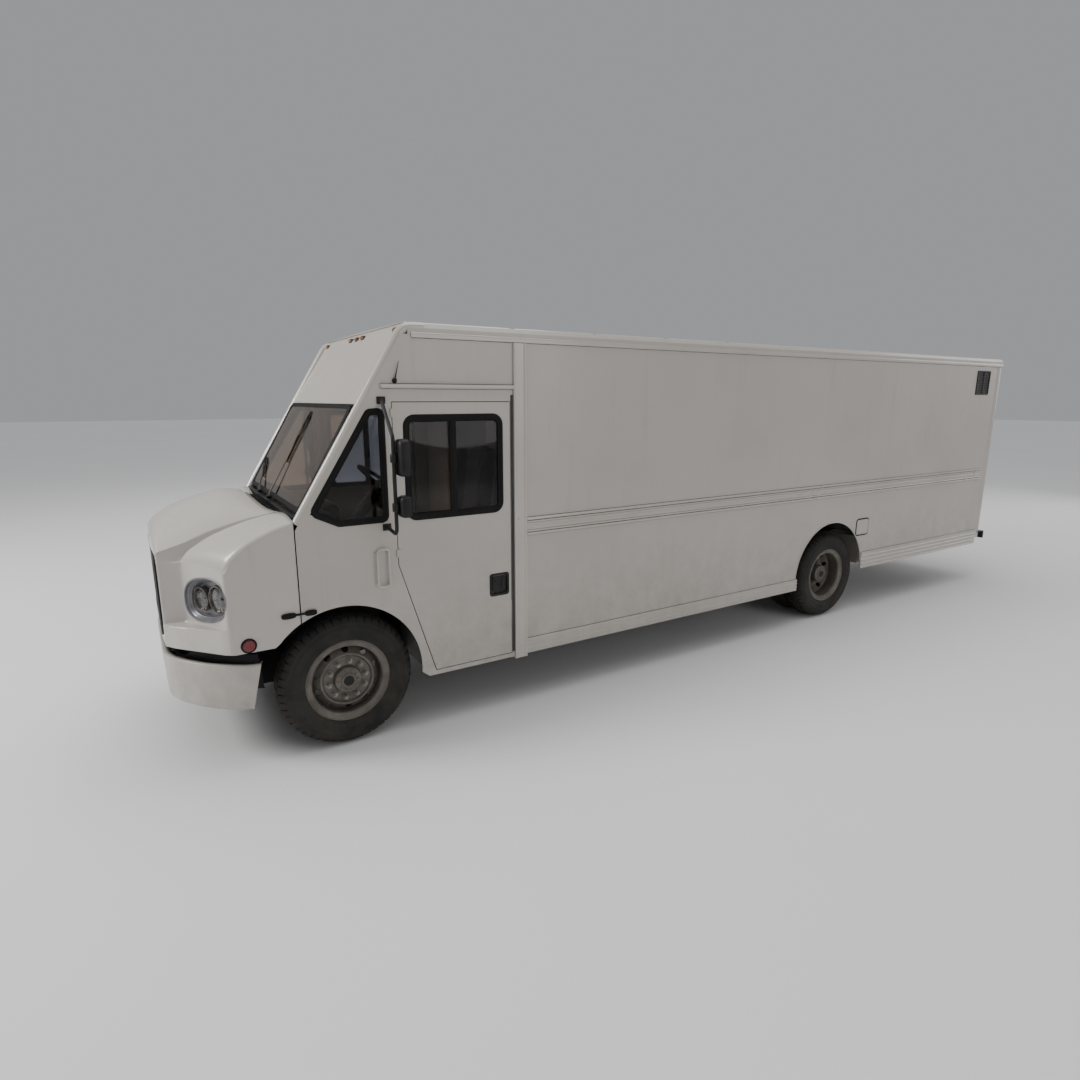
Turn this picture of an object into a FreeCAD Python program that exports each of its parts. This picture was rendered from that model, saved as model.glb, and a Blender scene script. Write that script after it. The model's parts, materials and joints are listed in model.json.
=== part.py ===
import FreeCAD, Part

# A walk-in delivery truck: ladder chassis, tilting hood, thin-skinned van body.
# Frame: millimetres, +Z up from the ground, the nose points towards -Y, and +X is the
# driver's side. X = 0 is the centre plane, Y = 0 is half of the overall length.

import math
import os
import re
import Sketcher

V = FreeCAD.Vector
doc = FreeCAD.newDocument("delivery_truck")
sheet = doc.addObject("Spreadsheet::Sheet", "sheet")

# --------------------------------------------------------------------- driving dimensions
DIMENSIONS = {
    "half_width": 1100,        # body side plane
    "skin": 4,                 # sheet thickness of the body
    "nose_y": -5300,           # front of the front bumper
    "tail_y": 5300,            # back of the rear bumper
    "seam_y": -4433,           # joint between hood and cab
    "front_axle_y": -4115,
    "rear_axle_y": 1685,
    "tyre_radius": 515,
    "tyre_width": 270,
    "tyre_face_x": 1060,       # outer face of the outer tyres
    "dual_spacing": 310,       # centre to centre of the twin rear tyres
    "kingpin_x": 760,
    "rail_x": 430,             # outer face of the frame rails
    "rail_width": 80,
    "rail_low": 700,
    "rail_top": 930,
    "floor_top": 1020,
    "roof_top": 3160,
    "roof_edge": 3064,
    "roof_front": -3560,
    "belt_end": 4950,
    "post_front": -2700,       # posts behind the cab doors
    "post_rear": -2580,
    "body_low": 436,
    "body_rear": 5190,
    "rear_post": 5050,
    "door_front": -3700,
    "door_rear": -2730,
    "door_top": 2585,
    "door_low": 473,
    "door_knee": 1380,         # below this height the door's front edge slants back
    "door_toe": -3424,
    "gap": 6,                  # clearance round doors and covers
    "front_arch_y": -4143,
    "front_arch_z": 527,
    "front_arch_radius": 598,
    "rear_arch_y": 1640,
    "rear_arch_z": 555,
    "rear_arch_radius": 617,
    "glass_low_y": -4380,      # bottom edge of the windshield
    "glass_low_z": 1814,
    "glass_slope": 872,        # height of the windshield along its slope
    "glass_half": 1037,
    "glass_tilt": 30,          # lean of the windshield from the vertical, in degrees
    "cap_top_y": -3618,
    "belt_low": 1486,
    "belt_top": 1640,
    "hood_skin": 6,
    "hood_low": 895,
}

for row, (alias, number) in enumerate(DIMENSIONS.items(), 1):
    cell = "B%d" % row
    sheet.set("A%d" % row, alias)
    sheet.set(cell, str(number))
    sheet.setAlias(cell, alias)
doc.recompute()
NODES = []
AXIS_TURN = {
    "X": FreeCAD.Rotation(V(0, 1, 0), 90),
    "Y": FreeCAD.Rotation(V(1, 0, 0), -90),
    "Z": FreeCAD.Rotation(),
}


# Repeated sizes and positions that are not driven from the spreadsheet.
STUD_COUNT = 10
STUD_CIRCLE = 143
STUD_RADIUS = 15
HAND_HOLE_RADIUS = 21
BEAD_RADIUS = 277
FLANGE_RADIUS = 309
LATCH_HEIGHT = 1120
CAB_HINGES = (1440, 2000, 2480)
REAR_HINGES = (1150, 1900, 2700)
CLEARANCE_LAMPS = (-950, -170, 0, 170, 950)
MARKER_LAMP = (-4792, 954)


# --------------------------------------------------------------------------- helpers
def formula(text):
    """A size as a spreadsheet formula: each driving dimension is read from its cell."""
    def cell_name(match):
        word = match.group(0)
        return "sheet." + word if word in DIMENSIONS else word
    return re.sub(r"[a-z_]+", cell_name, str(text))


def bind(thing, prop, text):
    thing.setExpression(prop, formula(text))


def place(thing, corner):
    for letter, text in zip("xyz", corner):
        bind(thing, "Placement.Base." + letter, text)


def box(name, low, high):
    """A box between two corners."""
    thing = doc.addObject("Part::Box", name)
    for prop, a, b in zip(("Length", "Width", "Height"), low, high):
        bind(thing, prop, "(%s) - (%s)" % (b, a))
    place(thing, low)
    return thing


def rod(name, axis, start, length, radius):
    """A cylinder along X, Y or Z from its start point."""
    thing = doc.addObject("Part::Cylinder", name)
    thing.Placement = FreeCAD.Placement(V(), AXIS_TURN[axis])
    bind(thing, "Radius", radius)
    bind(thing, "Height", length)
    place(thing, start)
    return thing


def strut(name, start, end, radius):
    """A round bar between two points."""
    a = V(*start)
    b = V(*end)
    thing = doc.addObject("Part::Cylinder", name)
    turn = FreeCAD.Rotation(V(0, 0, 1), b - a)
    thing.Placement = FreeCAD.Placement(a, turn)
    bind(thing, "Radius", radius)
    thing.Height = (b - a).Length
    return thing


def ball(name, centre, radius):
    thing = doc.addObject("Part::Sphere", name)
    bind(thing, "Radius", radius)
    place(thing, centre)
    return thing


def closed_outline(sketch, points):
    """A closed polygon whose corners are held by dimensions from the sketch's origin."""
    first = sketch.GeometryCount
    count = len(points)
    guess = []
    for i in range(count):
        turn = 2 * math.pi * i / count
        guess.append(V(500 * math.cos(turn), 500 * math.sin(turn), 0))
    for i in range(count):
        sketch.addGeometry(Part.LineSegment(guess[i], guess[(i + 1) % count]))
    for i in range(count):
        following = first + (i + 1) % count
        sketch.addConstraint(Sketcher.Constraint("Coincident", first + i, 2, following, 1))
    for i, point in enumerate(points):
        start = (guess[i].x, guess[i].y)
        for kind, text, number in zip(("DistanceX", "DistanceY"), point, start):
            rule = Sketcher.Constraint(kind, -1, 1, first + i, 1, number)
            index = sketch.addConstraint(rule)
            sketch.setExpression("Constraints[%d]" % index, formula(text))


def new_sketch(body, name, plane):
    sketch = body.newObject("Sketcher::SketchObject", name)
    origin_plane = [f for f in body.Origin.OriginFeatures if f.Role == plane][0]
    sketch.AttachmentSupport = [(origin_plane, "")]
    sketch.MapMode = "FlatFace"
    return sketch


def panel(name, plane, outline, thick, at, holes=()):
    """A flat panel with straight edges: its outline lies in a plane, and it grows from
    the offset `at` by its thickness towards the positive side of that plane."""
    body = doc.addObject("PartDesign::Body", name)
    sketch = new_sketch(body, name + "_outline", plane + "_Plane")
    closed_outline(sketch, outline)
    for hole in holes:
        closed_outline(sketch, hole)
    pad = body.newObject("PartDesign::Pad", name + "_pad")
    pad.Profile = sketch
    pad.Reversed = plane == "XZ"
    bind(pad, "Length", thick)
    letter = {"YZ": "x", "XZ": "y", "XY": "z"}[plane]
    bind(body, "Placement.Base." + letter, at)
    return body


def turned(name, outline, centre):
    """A solid of revolution about an axle: the outline is (x, radius)."""
    body = doc.addObject("PartDesign::Body", name)
    sketch = new_sketch(body, name + "_outline", "XY_Plane")
    closed_outline(sketch, outline)
    spin = body.newObject("PartDesign::Revolution", name + "_turn")
    spin.Profile = sketch
    spin.ReferenceAxis = (sketch, ["H_Axis"])
    spin.Angle = 360
    place(body, centre)
    return body


def ring_of(body, name, x_start, length, ring_radius, radius, count, cut):
    """Round holes or studs, evenly spaced on a circle about the body's X axis."""
    sketch = new_sketch(body, name + "_circle", "YZ_Plane")
    sketch.addGeometry(Part.Circle(V(ring_radius, 0, 0), V(0, 0, 1), radius))
    sketch.addConstraint(Sketcher.Constraint("Radius", 0, radius))
    sketch.addConstraint(Sketcher.Constraint("DistanceX", -1, 1, 0, 3, ring_radius))
    sketch.addConstraint(Sketcher.Constraint("DistanceY", -1, 1, 0, 3, 0))
    bind(sketch, "AttachmentOffset.Base.z", x_start)
    kind = "PartDesign::Pocket" if cut else "PartDesign::Pad"
    feature = body.newObject(kind, name)
    feature.Profile = sketch
    feature.Length = length
    feature.Reversed = cut
    pattern = body.newObject("PartDesign::PolarPattern", name + "_pattern")
    pattern.Originals = [feature]
    axis = [f for f in body.Origin.OriginFeatures if f.Role == "X_Axis"][0]
    pattern.Axis = (axis, [""])
    pattern.Angle = 360
    pattern.Occurrences = count
    body.Tip = pattern
    return body


def cut(name, base, *tools):
    thing = doc.addObject("Part::Cut", name)
    thing.Base = base
    thing.Tool = tools[0] if len(tools) == 1 else join(name + "_tools", *tools)
    return thing


def join(name, *pieces):
    thing = doc.addObject("Part::MultiFuse", name)
    thing.Shapes = list(pieces)
    return thing


def group(name, *pieces):
    """Separate solids of one sub-part."""
    thing = doc.addObject("Part::Compound", name)
    thing.Links = list(pieces)
    return thing


def mirrored(name, source):
    thing = doc.addObject("Part::Mirroring", name)
    thing.Source = source
    thing.Normal = V(1, 0, 0)
    thing.Base = V(0, 0, 0)
    return thing


def pair(name, left):
    return group(name, left, mirrored(name + "_other", left))


def shaped(name, shape):
    thing = doc.addObject("Part::Feature", name)
    thing.Shape = shape
    return thing


def node(thing, label):
    """Names a finished sub-part; its Label is its file's name."""
    thing.Label = label
    NODES.append(thing)
    return thing


def both_sides(left, name):
    """The left sub-part and its mirror image, as two nodes."""
    node(left, name + "_left")
    node(mirrored(name + "_mirror", left), name + "_right")


# --------------------------------------------------------------------------- chassis
def make_chassis():
    outer = box("rail_outer", ("rail_x - rail_width", -5060, "rail_low"),
                ("rail_x", 5180, "rail_top"))
    hollow = box("rail_hollow", ("rail_x - rail_width - 1", -5090, "rail_low + 8"),
                 ("rail_x - 8", 5190, "rail_top - 8"))
    rail = cut("rail", outer, hollow)
    pieces = [rail, mirrored("rail_other", rail)]
    for number, y in enumerate((-3200, -2000, -600, 900, 2600, 3900, 5060)):
        pieces.append(box("crossmember_%d" % number, ("8 - rail_x", y, "rail_top - 108"),
                          ("rail_x - 8", y + 70, "rail_top - 8")))
    pieces.append(box("front_crossmember", ("8 - rail_x", -4990, "rail_low + 8"),
                      ("rail_x - 8", -4900, "rail_low + 48")))
    hangers = (("front_axle_y", 614), ("rear_axle_y", 574))
    for number, (axle, low) in enumerate(hangers):
        for end in (-1, 1):
            name = "hanger_%d_%d" % (number, end + 1)
            middle = "%s + %d" % (axle, 610 * end)
            hanger = box(name, ("rail_x - 75", middle + " - 40", low),
                         ("rail_x - 5", middle + " + 40", "rail_low"))
            pieces += [hanger, mirrored(name + "_other", hanger)]
    bracket = box("bumper_bracket", ("rail_x - 60", "nose_y + 14", 560),
                  ("rail_x - 10", -4960, 780))
    pieces += [bracket, mirrored("bumper_bracket_other", bracket)]
    node(join("chassis_frame", *pieces), "chassis_frame")


def make_axles():
    half = [("0", 400), (540, 400), (640, 455), ("kingpin_x", 455),
            ("kingpin_x", 575), (620, 575), (520, 470)]
    outline = half + [("-(%s)" % x, z) for x, z in reversed(half[1:])]
    beam = panel("axle_beam", "XZ", outline, 90, "front_axle_y - 45")
    boss = rod("kingpin_boss", "Z", ("kingpin_x", "front_axle_y", 445), 140, 45)
    pin = rod("kingpin", "Z", ("kingpin_x", "front_axle_y", 398), 234, 22)
    end = join("beam_end", boss, pin)
    node(join("front_axle_beam", beam, end, mirrored("beam_end_other", end)), "front_axle_beam")

    tube = rod("axle_tube", "X", (-470, "rear_axle_y", "tyre_radius"), 940, 70)
    spindles = rod("rear_spindles", "X", (-900, "rear_axle_y", "tyre_radius"), 1800, 60)
    bulge = ball("differential", (0, "rear_axle_y", "tyre_radius"), 185)
    nose = rod("pinion_nose", "Y", (0, "rear_axle_y - 330", "tyre_radius"), 330, 75)
    node(join("rear_axle_housing", tube, spindles, bulge, nose), "rear_axle_housing")


def leaf_spring(name, axle, seat, ends):
    """A leaf spring: two arcs that meet at the ends, thickest over the axle."""
    reach = 640
    thick = 60
    tip = 14
    width = 70
    low = Part.Arc(V(0, -reach, ends), V(0, 0, seat), V(0, reach, ends)).toShape()
    high = Part.Arc(V(0, reach, ends + tip), V(0, 0, seat + thick), V(0, -reach, ends + tip)).toShape()
    back = Part.LineSegment(V(0, reach, ends), V(0, reach, ends + tip)).toShape()
    front = Part.LineSegment(V(0, -reach, ends + tip), V(0, -reach, ends)).toShape()
    face = Part.Face(Part.Wire([low, back, high, front]))
    thing = shaped(name, face.extrude(V(width, 0, 0)))
    place(thing, ("rail_x - 75", axle, 0))
    return thing


def make_springs():
    front = leaf_spring("front_spring", "front_axle_y", 470, 600)
    rear = leaf_spring("rear_spring", "rear_axle_y", 385, 560)
    node(group("leaf_springs", front, mirrored("front_spring_other", front),
               rear, mirrored("rear_spring_other", rear)), "leaf_springs")


def make_driveline():
    block = box("block", (-250, -4840, 760), (250, -4060, 1280))
    cover = box("valve_cover", (-120, -4800, 1280), (120, -4100, 1380))
    sump = box("sump", (-170, -4780, 560), (170, -4300, 760))
    gearbox = rod("gearbox", "Y", (0, -4060, 780), 700, 165)
    fan = rod("fan", "Y", (0, -4900, 1090), 60, 250)
    power = join("power_unit", block, cover, sump, gearbox, fan)
    radiator = box("radiator", (-400, -5030, 940), (400, -4950, 1500))
    pipe = rod("exhaust_pipe", "Y", (-560, -3450, 800), 3200, 38)
    muffler = rod("muffler", "Y", (-560, -2900, 800), 900, 110)
    node(group("engine", power, radiator, join("exhaust", pipe, muffler)), "engine")
    node(strut("propeller_shaft", (0, -3354, 780), (0, 1350, 517), 45), "propeller_shaft")


def make_fuel_tank():
    tank = box("tank", (480, 2380, 560), (980, 3300, 900))
    neck = strut("filler_neck", (950, 2430, 820), (1058, 2302, 1066), 24)
    cap = rod("filler_cap", "X", (1050, 2302, 1067), 30, 34)
    node(join("fuel_tank", tank, neck, cap), "fuel_tank")


# --------------------------------------------------------------------------- running gear
def rim(outer_x, disc):
    """Half of a rim's section as (x, radius): flange, barrel, flange, then the disc."""
    return [("%s - 26" % outer_x, 262), ("%s - 26" % outer_x, 306), ("%s - 36" % outer_x, 306),
            ("%s - 36" % outer_x, 276), ("%s - 234" % outer_x, 276), ("%s - 234" % outer_x, 306),
            ("%s - 244" % outer_x, 306), ("%s - 244" % outer_x, 262)] + disc


def ring_solid(edges):
    """Edges in the X-radius plane, turned about the X axis into a solid."""
    outline = Part.Wire([edge.toShape() for edge in edges])
    return Part.Face(outline).revolve(V(), V(1, 0, 0), 360)


def tyre(name, face_x, axle):
    """A tyre: arc-sided casing, hollow, seated between the rim's flanges."""
    half = DIMENSIONS["tyre_width"] / 2
    radius = DIMENSIONS["tyre_radius"]
    heel = half - 38
    toe = heel - 18
    belt = radius - 34
    outer = [Part.LineSegment(V(-heel, BEAD_RADIUS, 0), V(-heel, FLANGE_RADIUS, 0)),
             Part.Arc(V(-heel, FLANGE_RADIUS, 0), V(-half, 400, 0), V(-heel, radius, 0)),
             Part.LineSegment(V(-heel, radius, 0), V(heel, radius, 0)),
             Part.Arc(V(heel, radius, 0), V(half, 400, 0), V(heel, FLANGE_RADIUS, 0)),
             Part.LineSegment(V(heel, FLANGE_RADIUS, 0), V(heel, BEAD_RADIUS, 0)),
             Part.LineSegment(V(heel, BEAD_RADIUS, 0), V(-heel, BEAD_RADIUS, 0))]
    inner = [Part.Arc(V(-toe, BEAD_RADIUS - 5, 0), V(18 - half, 400, 0), V(52 - half, belt, 0)),
             Part.Arc(V(52 - half, belt, 0), V(0, belt + 8, 0), V(half - 52, belt, 0)),
             Part.Arc(V(half - 52, belt, 0), V(half - 18, 400, 0), V(toe, BEAD_RADIUS - 5, 0)),
             Part.LineSegment(V(toe, BEAD_RADIUS - 5, 0), V(-toe, BEAD_RADIUS - 5, 0))]
    thing = shaped(name, ring_solid(outer).cut(ring_solid(inner)))
    place(thing, ("%s - tyre_width / 2" % face_x, axle, "tyre_radius"))
    return thing


def make_front_wheels():
    centre = (0, "front_axle_y", "tyre_radius")
    face = "tyre_face_x"
    disc = [("%s - 116" % face, 262), ("%s - 74" % face, 196), ("%s - 74" % face, 110),
            ("%s - 210" % face, 110), ("%s - 210" % face, 40.05), ("%s - 58" % face, 40.05),
            ("%s - 58" % face, 0), ("%s - 15" % face, 0), ("%s - 15" % face, 70),
            ("%s - 25" % face, 95), ("%s - 60" % face, 105), ("%s - 60" % face, 205),
            ("%s - 102" % face, 262)]
    wheel = turned("front_disc", rim(face, disc), centre)
    ring_of(wheel, "hand_holes", "tyre_face_x - 40", 120, 230, HAND_HOLE_RADIUS, STUD_COUNT, True)
    ring_of(wheel, "wheel_nuts", "tyre_face_x - 62", 30, STUD_CIRCLE, STUD_RADIUS, STUD_COUNT, False)
    both_sides(wheel, "front_wheel")
    both_sides(tyre("front_tyre", face, "front_axle_y"), "front_tyre")

    ear_high = rod("ear_high", "Z", ("kingpin_x", "front_axle_y", 590), 40, 48)
    ear_low = rod("ear_low", "Z", ("kingpin_x", "front_axle_y", 400), 40, 48)
    arm_high = box("arm_high", ("kingpin_x", "front_axle_y - 40", 590),
                   ("kingpin_x + 60", "front_axle_y + 40", 630))
    arm_low = box("arm_low", ("kingpin_x", "front_axle_y - 40", 400),
                  ("kingpin_x + 60", "front_axle_y + 40", 440))
    plate = box("knuckle_plate", ("kingpin_x + 52", "front_axle_y - 70", 400),
                ("kingpin_x + 80", "front_axle_y + 70", 630))
    spindle = rod("spindle", "X", ("kingpin_x + 70", "front_axle_y", "tyre_radius"), 170, 40)
    solid = join("knuckle_solid", ear_high, ear_low, arm_high, arm_low, plate, spindle)
    eye = rod("kingpin_hole", "Z", ("kingpin_x", "front_axle_y", 380), 270, 22.05)
    both_sides(cut("knuckle", solid, eye), "steering_knuckle")


def make_rear_wheels():
    centre = (0, "rear_axle_y", "tyre_radius")
    face = "tyre_face_x"
    inner = "tyre_face_x - dual_spacing"
    outline = rim(face, [("%s - 234" % face, 255), ("%s - 284" % face, 205),
                         ("%s - 296" % face, 205), ("%s - 36" % inner, 255)])
    outline += rim(inner, [("%s - 60" % inner, 262), ("%s + 2" % inner, 200),
                           ("%s + 2" % inner, 115), ("%s - 190" % inner, 115),
                           ("%s - 190" % inner, 60.05), ("%s - 158" % face, 60.05),
                           ("%s - 158" % face, 0), ("%s - 120" % face, 0),
                           ("%s - 120" % face, 80), ("%s - 135" % face, 105),
                           ("%s - 276" % face, 110), ("%s - 276" % face, 200),
                           ("%s - 210" % face, 262)])
    wheel = turned("rear_disc", outline, centre)
    ring_of(wheel, "rear_hand_holes", "tyre_face_x - 200", 180, 228, HAND_HOLE_RADIUS, STUD_COUNT, True)
    ring_of(wheel, "rear_nuts", "tyre_face_x - 278", 34, STUD_CIRCLE, STUD_RADIUS, STUD_COUNT, False)
    both_sides(wheel, "rear_wheels")
    twin = group("rear_tyres", tyre("rear_outer_tyre", face, "rear_axle_y"),
                 tyre("rear_inner_tyre", inner, "rear_axle_y"))
    both_sides(twin, "rear_tyres")


# --------------------------------------------------------------------------- hood
# Stations of the hood from the seam to the nose. Each one gives y, the side wall's x, then
# the heights of the fender's edge, its crown, the valley, the crest and the centre line,
# and last the x of the crest.
HOOD_STATIONS = (
    (-4437, 1100, 1795, 1825, 1785, 1835, 1930, 590),
    (-4600, 1100, 1745, 1785, 1755, 1800, 1905, 580),
    (-4760, 1099, 1650, 1715, 1715, 1765, 1870, 570),
    (-4870, 1092, 1500, 1650, 1680, 1735, 1830, 560),
    (-4900, 1060, 1490, 1625, 1670, 1725, 1820, 558),
    (-5050, 860, 1480, 1560, 1590, 1685, 1770, 555),
    (-5130, 740, 1440, 1490, 1500, 1640, 1720, 552),
    (-5190, 660, 1400, 1420, 1440, 1590, 1655, 550),
    (-5240, 630, 1330, 1350, 1370, 1500, 1560, 545),
    (-5280, 600, 1250, 1270, 1290, 1350, 1390, 520),
)


def hood_section(station, inset, low):
    """One closed cross-section of the hood, set in by the skin's thickness."""
    y, side, edge, crown, valley, crest, centre, crest_x = station
    side_x = side - inset
    valley_x = crest_x + 0.25 * (side - crest_x)
    crown_x = crest_x + 0.62 * (side - crest_x)
    half = [(side_x, low), (side_x, edge - inset), (crown_x, crown - inset),
            (valley_x, valley - inset), (crest_x - inset, crest - inset),
            (0.5 * crest_x, crest + 0.75 * (centre - crest) - inset), (0, centre - inset)]
    points = [V(x, y, z) for x, z in half]
    points += [V(-p.x, y, p.z) for p in reversed(points[:-1])]
    return Part.makePolygon(points + [points[0]])


def make_hood():
    skin = DIMENSIONS["hood_skin"]
    low = DIMENSIONS["hood_low"]
    outer = Part.makeLoft([hood_section(s, 0, low) for s in HOOD_STATIONS], True, True)
    stations = []
    for number, station in enumerate(HOOD_STATIONS):
        shift = 0
        if number == 0:
            shift = 10
        if number == len(HOOD_STATIONS) - 1:
            shift = skin
        stations.append((station[0] + shift,) + station[1:])
    inner = Part.makeLoft([hood_section(s, skin, low - 20) for s in stations], True, True)
    shell = outer.cut(inner)
    mouth = Part.makeBox(1010, 200, 560, V(-505, -5300, 965))
    shell = shell.cut(mouth)
    arch = Part.makeCylinder(DIMENSIONS["front_arch_radius"], 2400,
                             V(-1200, DIMENSIONS["front_arch_y"], DIMENSIONS["front_arch_z"]), V(1, 0, 0))
    shell = shell.cut(arch)
    for side in (-1, 1):
        shell = shell.cut(lamp_oval(side, 157, 122, 60, -170))
    lip_outline = [(600, -5290), (800, -5235), (870, -5105), (1096, -4900), (1096, -4870),
                   (860, -5080), (790, -5205), (600, -5262)]
    lip_outline += [(-x, y) for x, y in reversed(lip_outline)]
    points = [V(x, y, low) for x, y in lip_outline]
    lip = Part.Face(Part.makePolygon(points + [points[0]])).extrude(V(0, 0, 175))
    slot = Part.makeBox(1010, 60, 400, V(-505, -5270, 965))
    shell = shell.fuse(lip.cut(slot)).removeSplitter()
    node(shaped("hood_shell", shell), "hood_shell")


def lamp_oval(side, half_long, half_high, length, start):
    """An oval cylinder square to the swept headlamp face, from `start` along its normal."""
    normal = V(0.544 * side, -0.839, 0)
    centre = V(905 * side, -5030, 1255)
    oval = Part.Ellipse(V(), half_long, half_high).toShape()
    face = Part.Face(Part.Wire([oval]))
    solid = face.extrude(V(0, 0, 200 + length))
    along = V(0.839, 0.544 * side, 0)
    turn = FreeCAD.Rotation(along, V(0, 0, 1), normal, "XYZ")
    solid.Placement = FreeCAD.Placement(centre + normal * start, turn)
    return solid


def make_hood_trim():
    low = 970
    frame = box("grille_frame", (-500, -5268, low), (500, -5240, 1515))
    window = box("grille_window", (-470, -5300, low + 30), (470, -5200, 1485))
    ring = cut("grille_ring", frame, window)
    bars = [ring]
    for number in range(9):
        z = low + 60 + 50 * number
        bars.append(box("grille_bar_%d" % number, (-480, -5262, z), (480, -5246, z + 18)))
    node(join("grille", *bars), "grille")

    solids = []
    for side in (-1, 1):
        pod = lamp_oval(side, 153, 118, -80, -100)
        solids.append(pod)
        x = 1100.5 if side > 0 else -1112.5
        solids.append(Part.makeCylinder(50, 12, V(x, *MARKER_LAMP), V(1, 0, 0)))
    node(shaped("hood_lamps", Part.makeCompound(solids)), "hood_lamps")

    lobe_front = rod("latch_hook", "X", (1102, -4530, LATCH_HEIGHT), 16, 26)
    lobe_rear = rod("latch_root", "X", (1102, -4350, LATCH_HEIGHT), 16, 26)
    band = box("latch_band", (1102, -4530, LATCH_HEIGHT - 14), (1114, -4350, LATCH_HEIGHT + 14))
    both_sides(join("hood_latch", lobe_front, lobe_rear, band), "hood_latch")


# --------------------------------------------------------------------------- body shell
DOOR_OUTLINE = (("door_front", "door_top"), ("door_front", "door_knee"),
                ("door_toe", "door_low"), ("door_rear", "door_low"), ("door_rear", "door_top"))
PILLAR = ((1062, -4400, 1771), (1062, -3622, 3052))
QUARTER_WINDOW = ((-4325, 1822), (-4130, 1726), (-3770, 1726), (-3770, 2538), (-3885, 2530))


def make_cab_sides():
    outline = [("seam_y", 600), ("seam_y", 1717), ("cap_top_y", "roof_edge"),
               ("post_front", "roof_edge"), ("post_front", 430), (-3487, 430), (-3700, 600)]
    opening = [("door_front - gap", "door_top + gap"), ("door_front - gap", "door_knee"),
               ("door_toe - gap", "door_low - gap"), ("door_rear + gap", "door_low - gap"),
               ("door_rear + gap", "door_top + gap")]
    side = panel("cab_side_sheet", "YZ", outline, "skin", "half_width - skin",
                 [opening, QUARTER_WINDOW])
    arch = rod("cab_arch", "X", (1000, "front_arch_y", "front_arch_z"), 200, "front_arch_radius")
    edge = strut("pillar_space", *PILLAR, 36.4)
    node(pair("cab_sides", cut("cab_side", side, arch, edge)), "cab_sides")


def make_side_panels():
    outline = [("post_rear", "body_low"), ("rear_arch_y", "body_low"), ("rear_arch_y", 534),
               ("rear_post", 534), ("rear_post", "roof_edge"), ("post_rear", "roof_edge")]
    sheet_panel = panel("side_sheet", "YZ", outline, "skin", "half_width - skin")
    arch = rod("rear_arch", "X", (1000, "rear_arch_y", "rear_arch_z"), 200, "rear_arch_radius")
    hatch = box("filler_opening", (1000, 2160, 994), (1200, 2332, 1142))
    skin = cut("side_skin", sheet_panel, arch, hatch)
    pieces = [skin]
    for number in range(12):
        y = -2300 + 620 * number
        pieces.append(box("rib_%d" % number, ("half_width - 34", y, "floor_top + 160"),
                          ("half_width - skin", y + 40, "roof_edge - 20")))
    node(pair("side_panels", join("side_panel", *pieces)), "side_panels")


def roof_outline(inset):
    half = [("half_width - %g" % inset, "roof_edge"),
            ("half_width - %g" % inset, "roof_top - 50 - %g" % (inset * 0.4)),
            ("half_width - 22 - %g" % (inset * 0.8), "roof_top - 18 - %g" % (inset * 0.8)),
            ("half_width - 70", "roof_top - 6 - %g" % inset)]
    return half + [("-(%s)" % x, z) for x, z in reversed(half)]


def make_roof():
    outer = panel("roof_outer", "XZ", roof_outline(0), "body_rear - roof_front", "roof_front")
    inner = panel("roof_inner", "XZ", roof_outline(DIMENSIONS["skin"]),
                  "body_rear - roof_front + 40", "roof_front - 20")
    shell = cut("roof_shell", outer, inner)
    crown = panel("roof_crown", "XZ", [(-1000, 3154), (0, "roof_top"), (1000, 3154),
                                       (1000, 3152), (-1000, 3152)], "body_rear - roof_front", "roof_front")
    pieces = [shell, crown]
    for number in range(10):
        y = -2700 + 800 * number
        pieces.append(box("roof_bow_%d" % number, (-1070, y, 3120), (1070, y + 40, 3151)))
    node(join("roof_panel", *pieces), "roof_panel")


def strip(name, y_from, y_to, low, high, out=18):
    return box(name, ("half_width", y_from, low), ("half_width + %g" % out, y_to, high))


def make_rails():
    rails = [strip("roof_rail", -3536, "body_rear", 3040, 3078, 10),
             strip("belt_rail_low", "post_rear", "belt_end", "belt_low", "belt_low + 45"),
             strip("belt_rail_mid", "post_rear", "belt_end", "belt_low + 45", "belt_top - 45", 8),
             strip("belt_rail_top", "post_rear", "belt_end", "belt_top - 45", "belt_top"),
             strip("skirt_rail_front", "post_rear", 1048, "body_low", 571, 15),
             strip("skirt_rail_rear", 2252, "rear_post", 534, 743, 15),
             strip("drip_gutter", -3780, "post_front", 2681, 2717, 20)]
    lip = cut("arch_lip", rod("lip_outer", "X", ("half_width", "rear_arch_y", "rear_arch_z"),
                              14, "rear_arch_radius + 12"),
              rod("lip_inner", "X", ("half_width - 9", "rear_arch_y", "rear_arch_z"),
                  40, "rear_arch_radius"),
              box("lip_below", (1000, 900, -200), (1300, 2400, 572)))
    node(pair("body_rails", group("left_rails", *rails, lip)), "body_rails")


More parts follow.
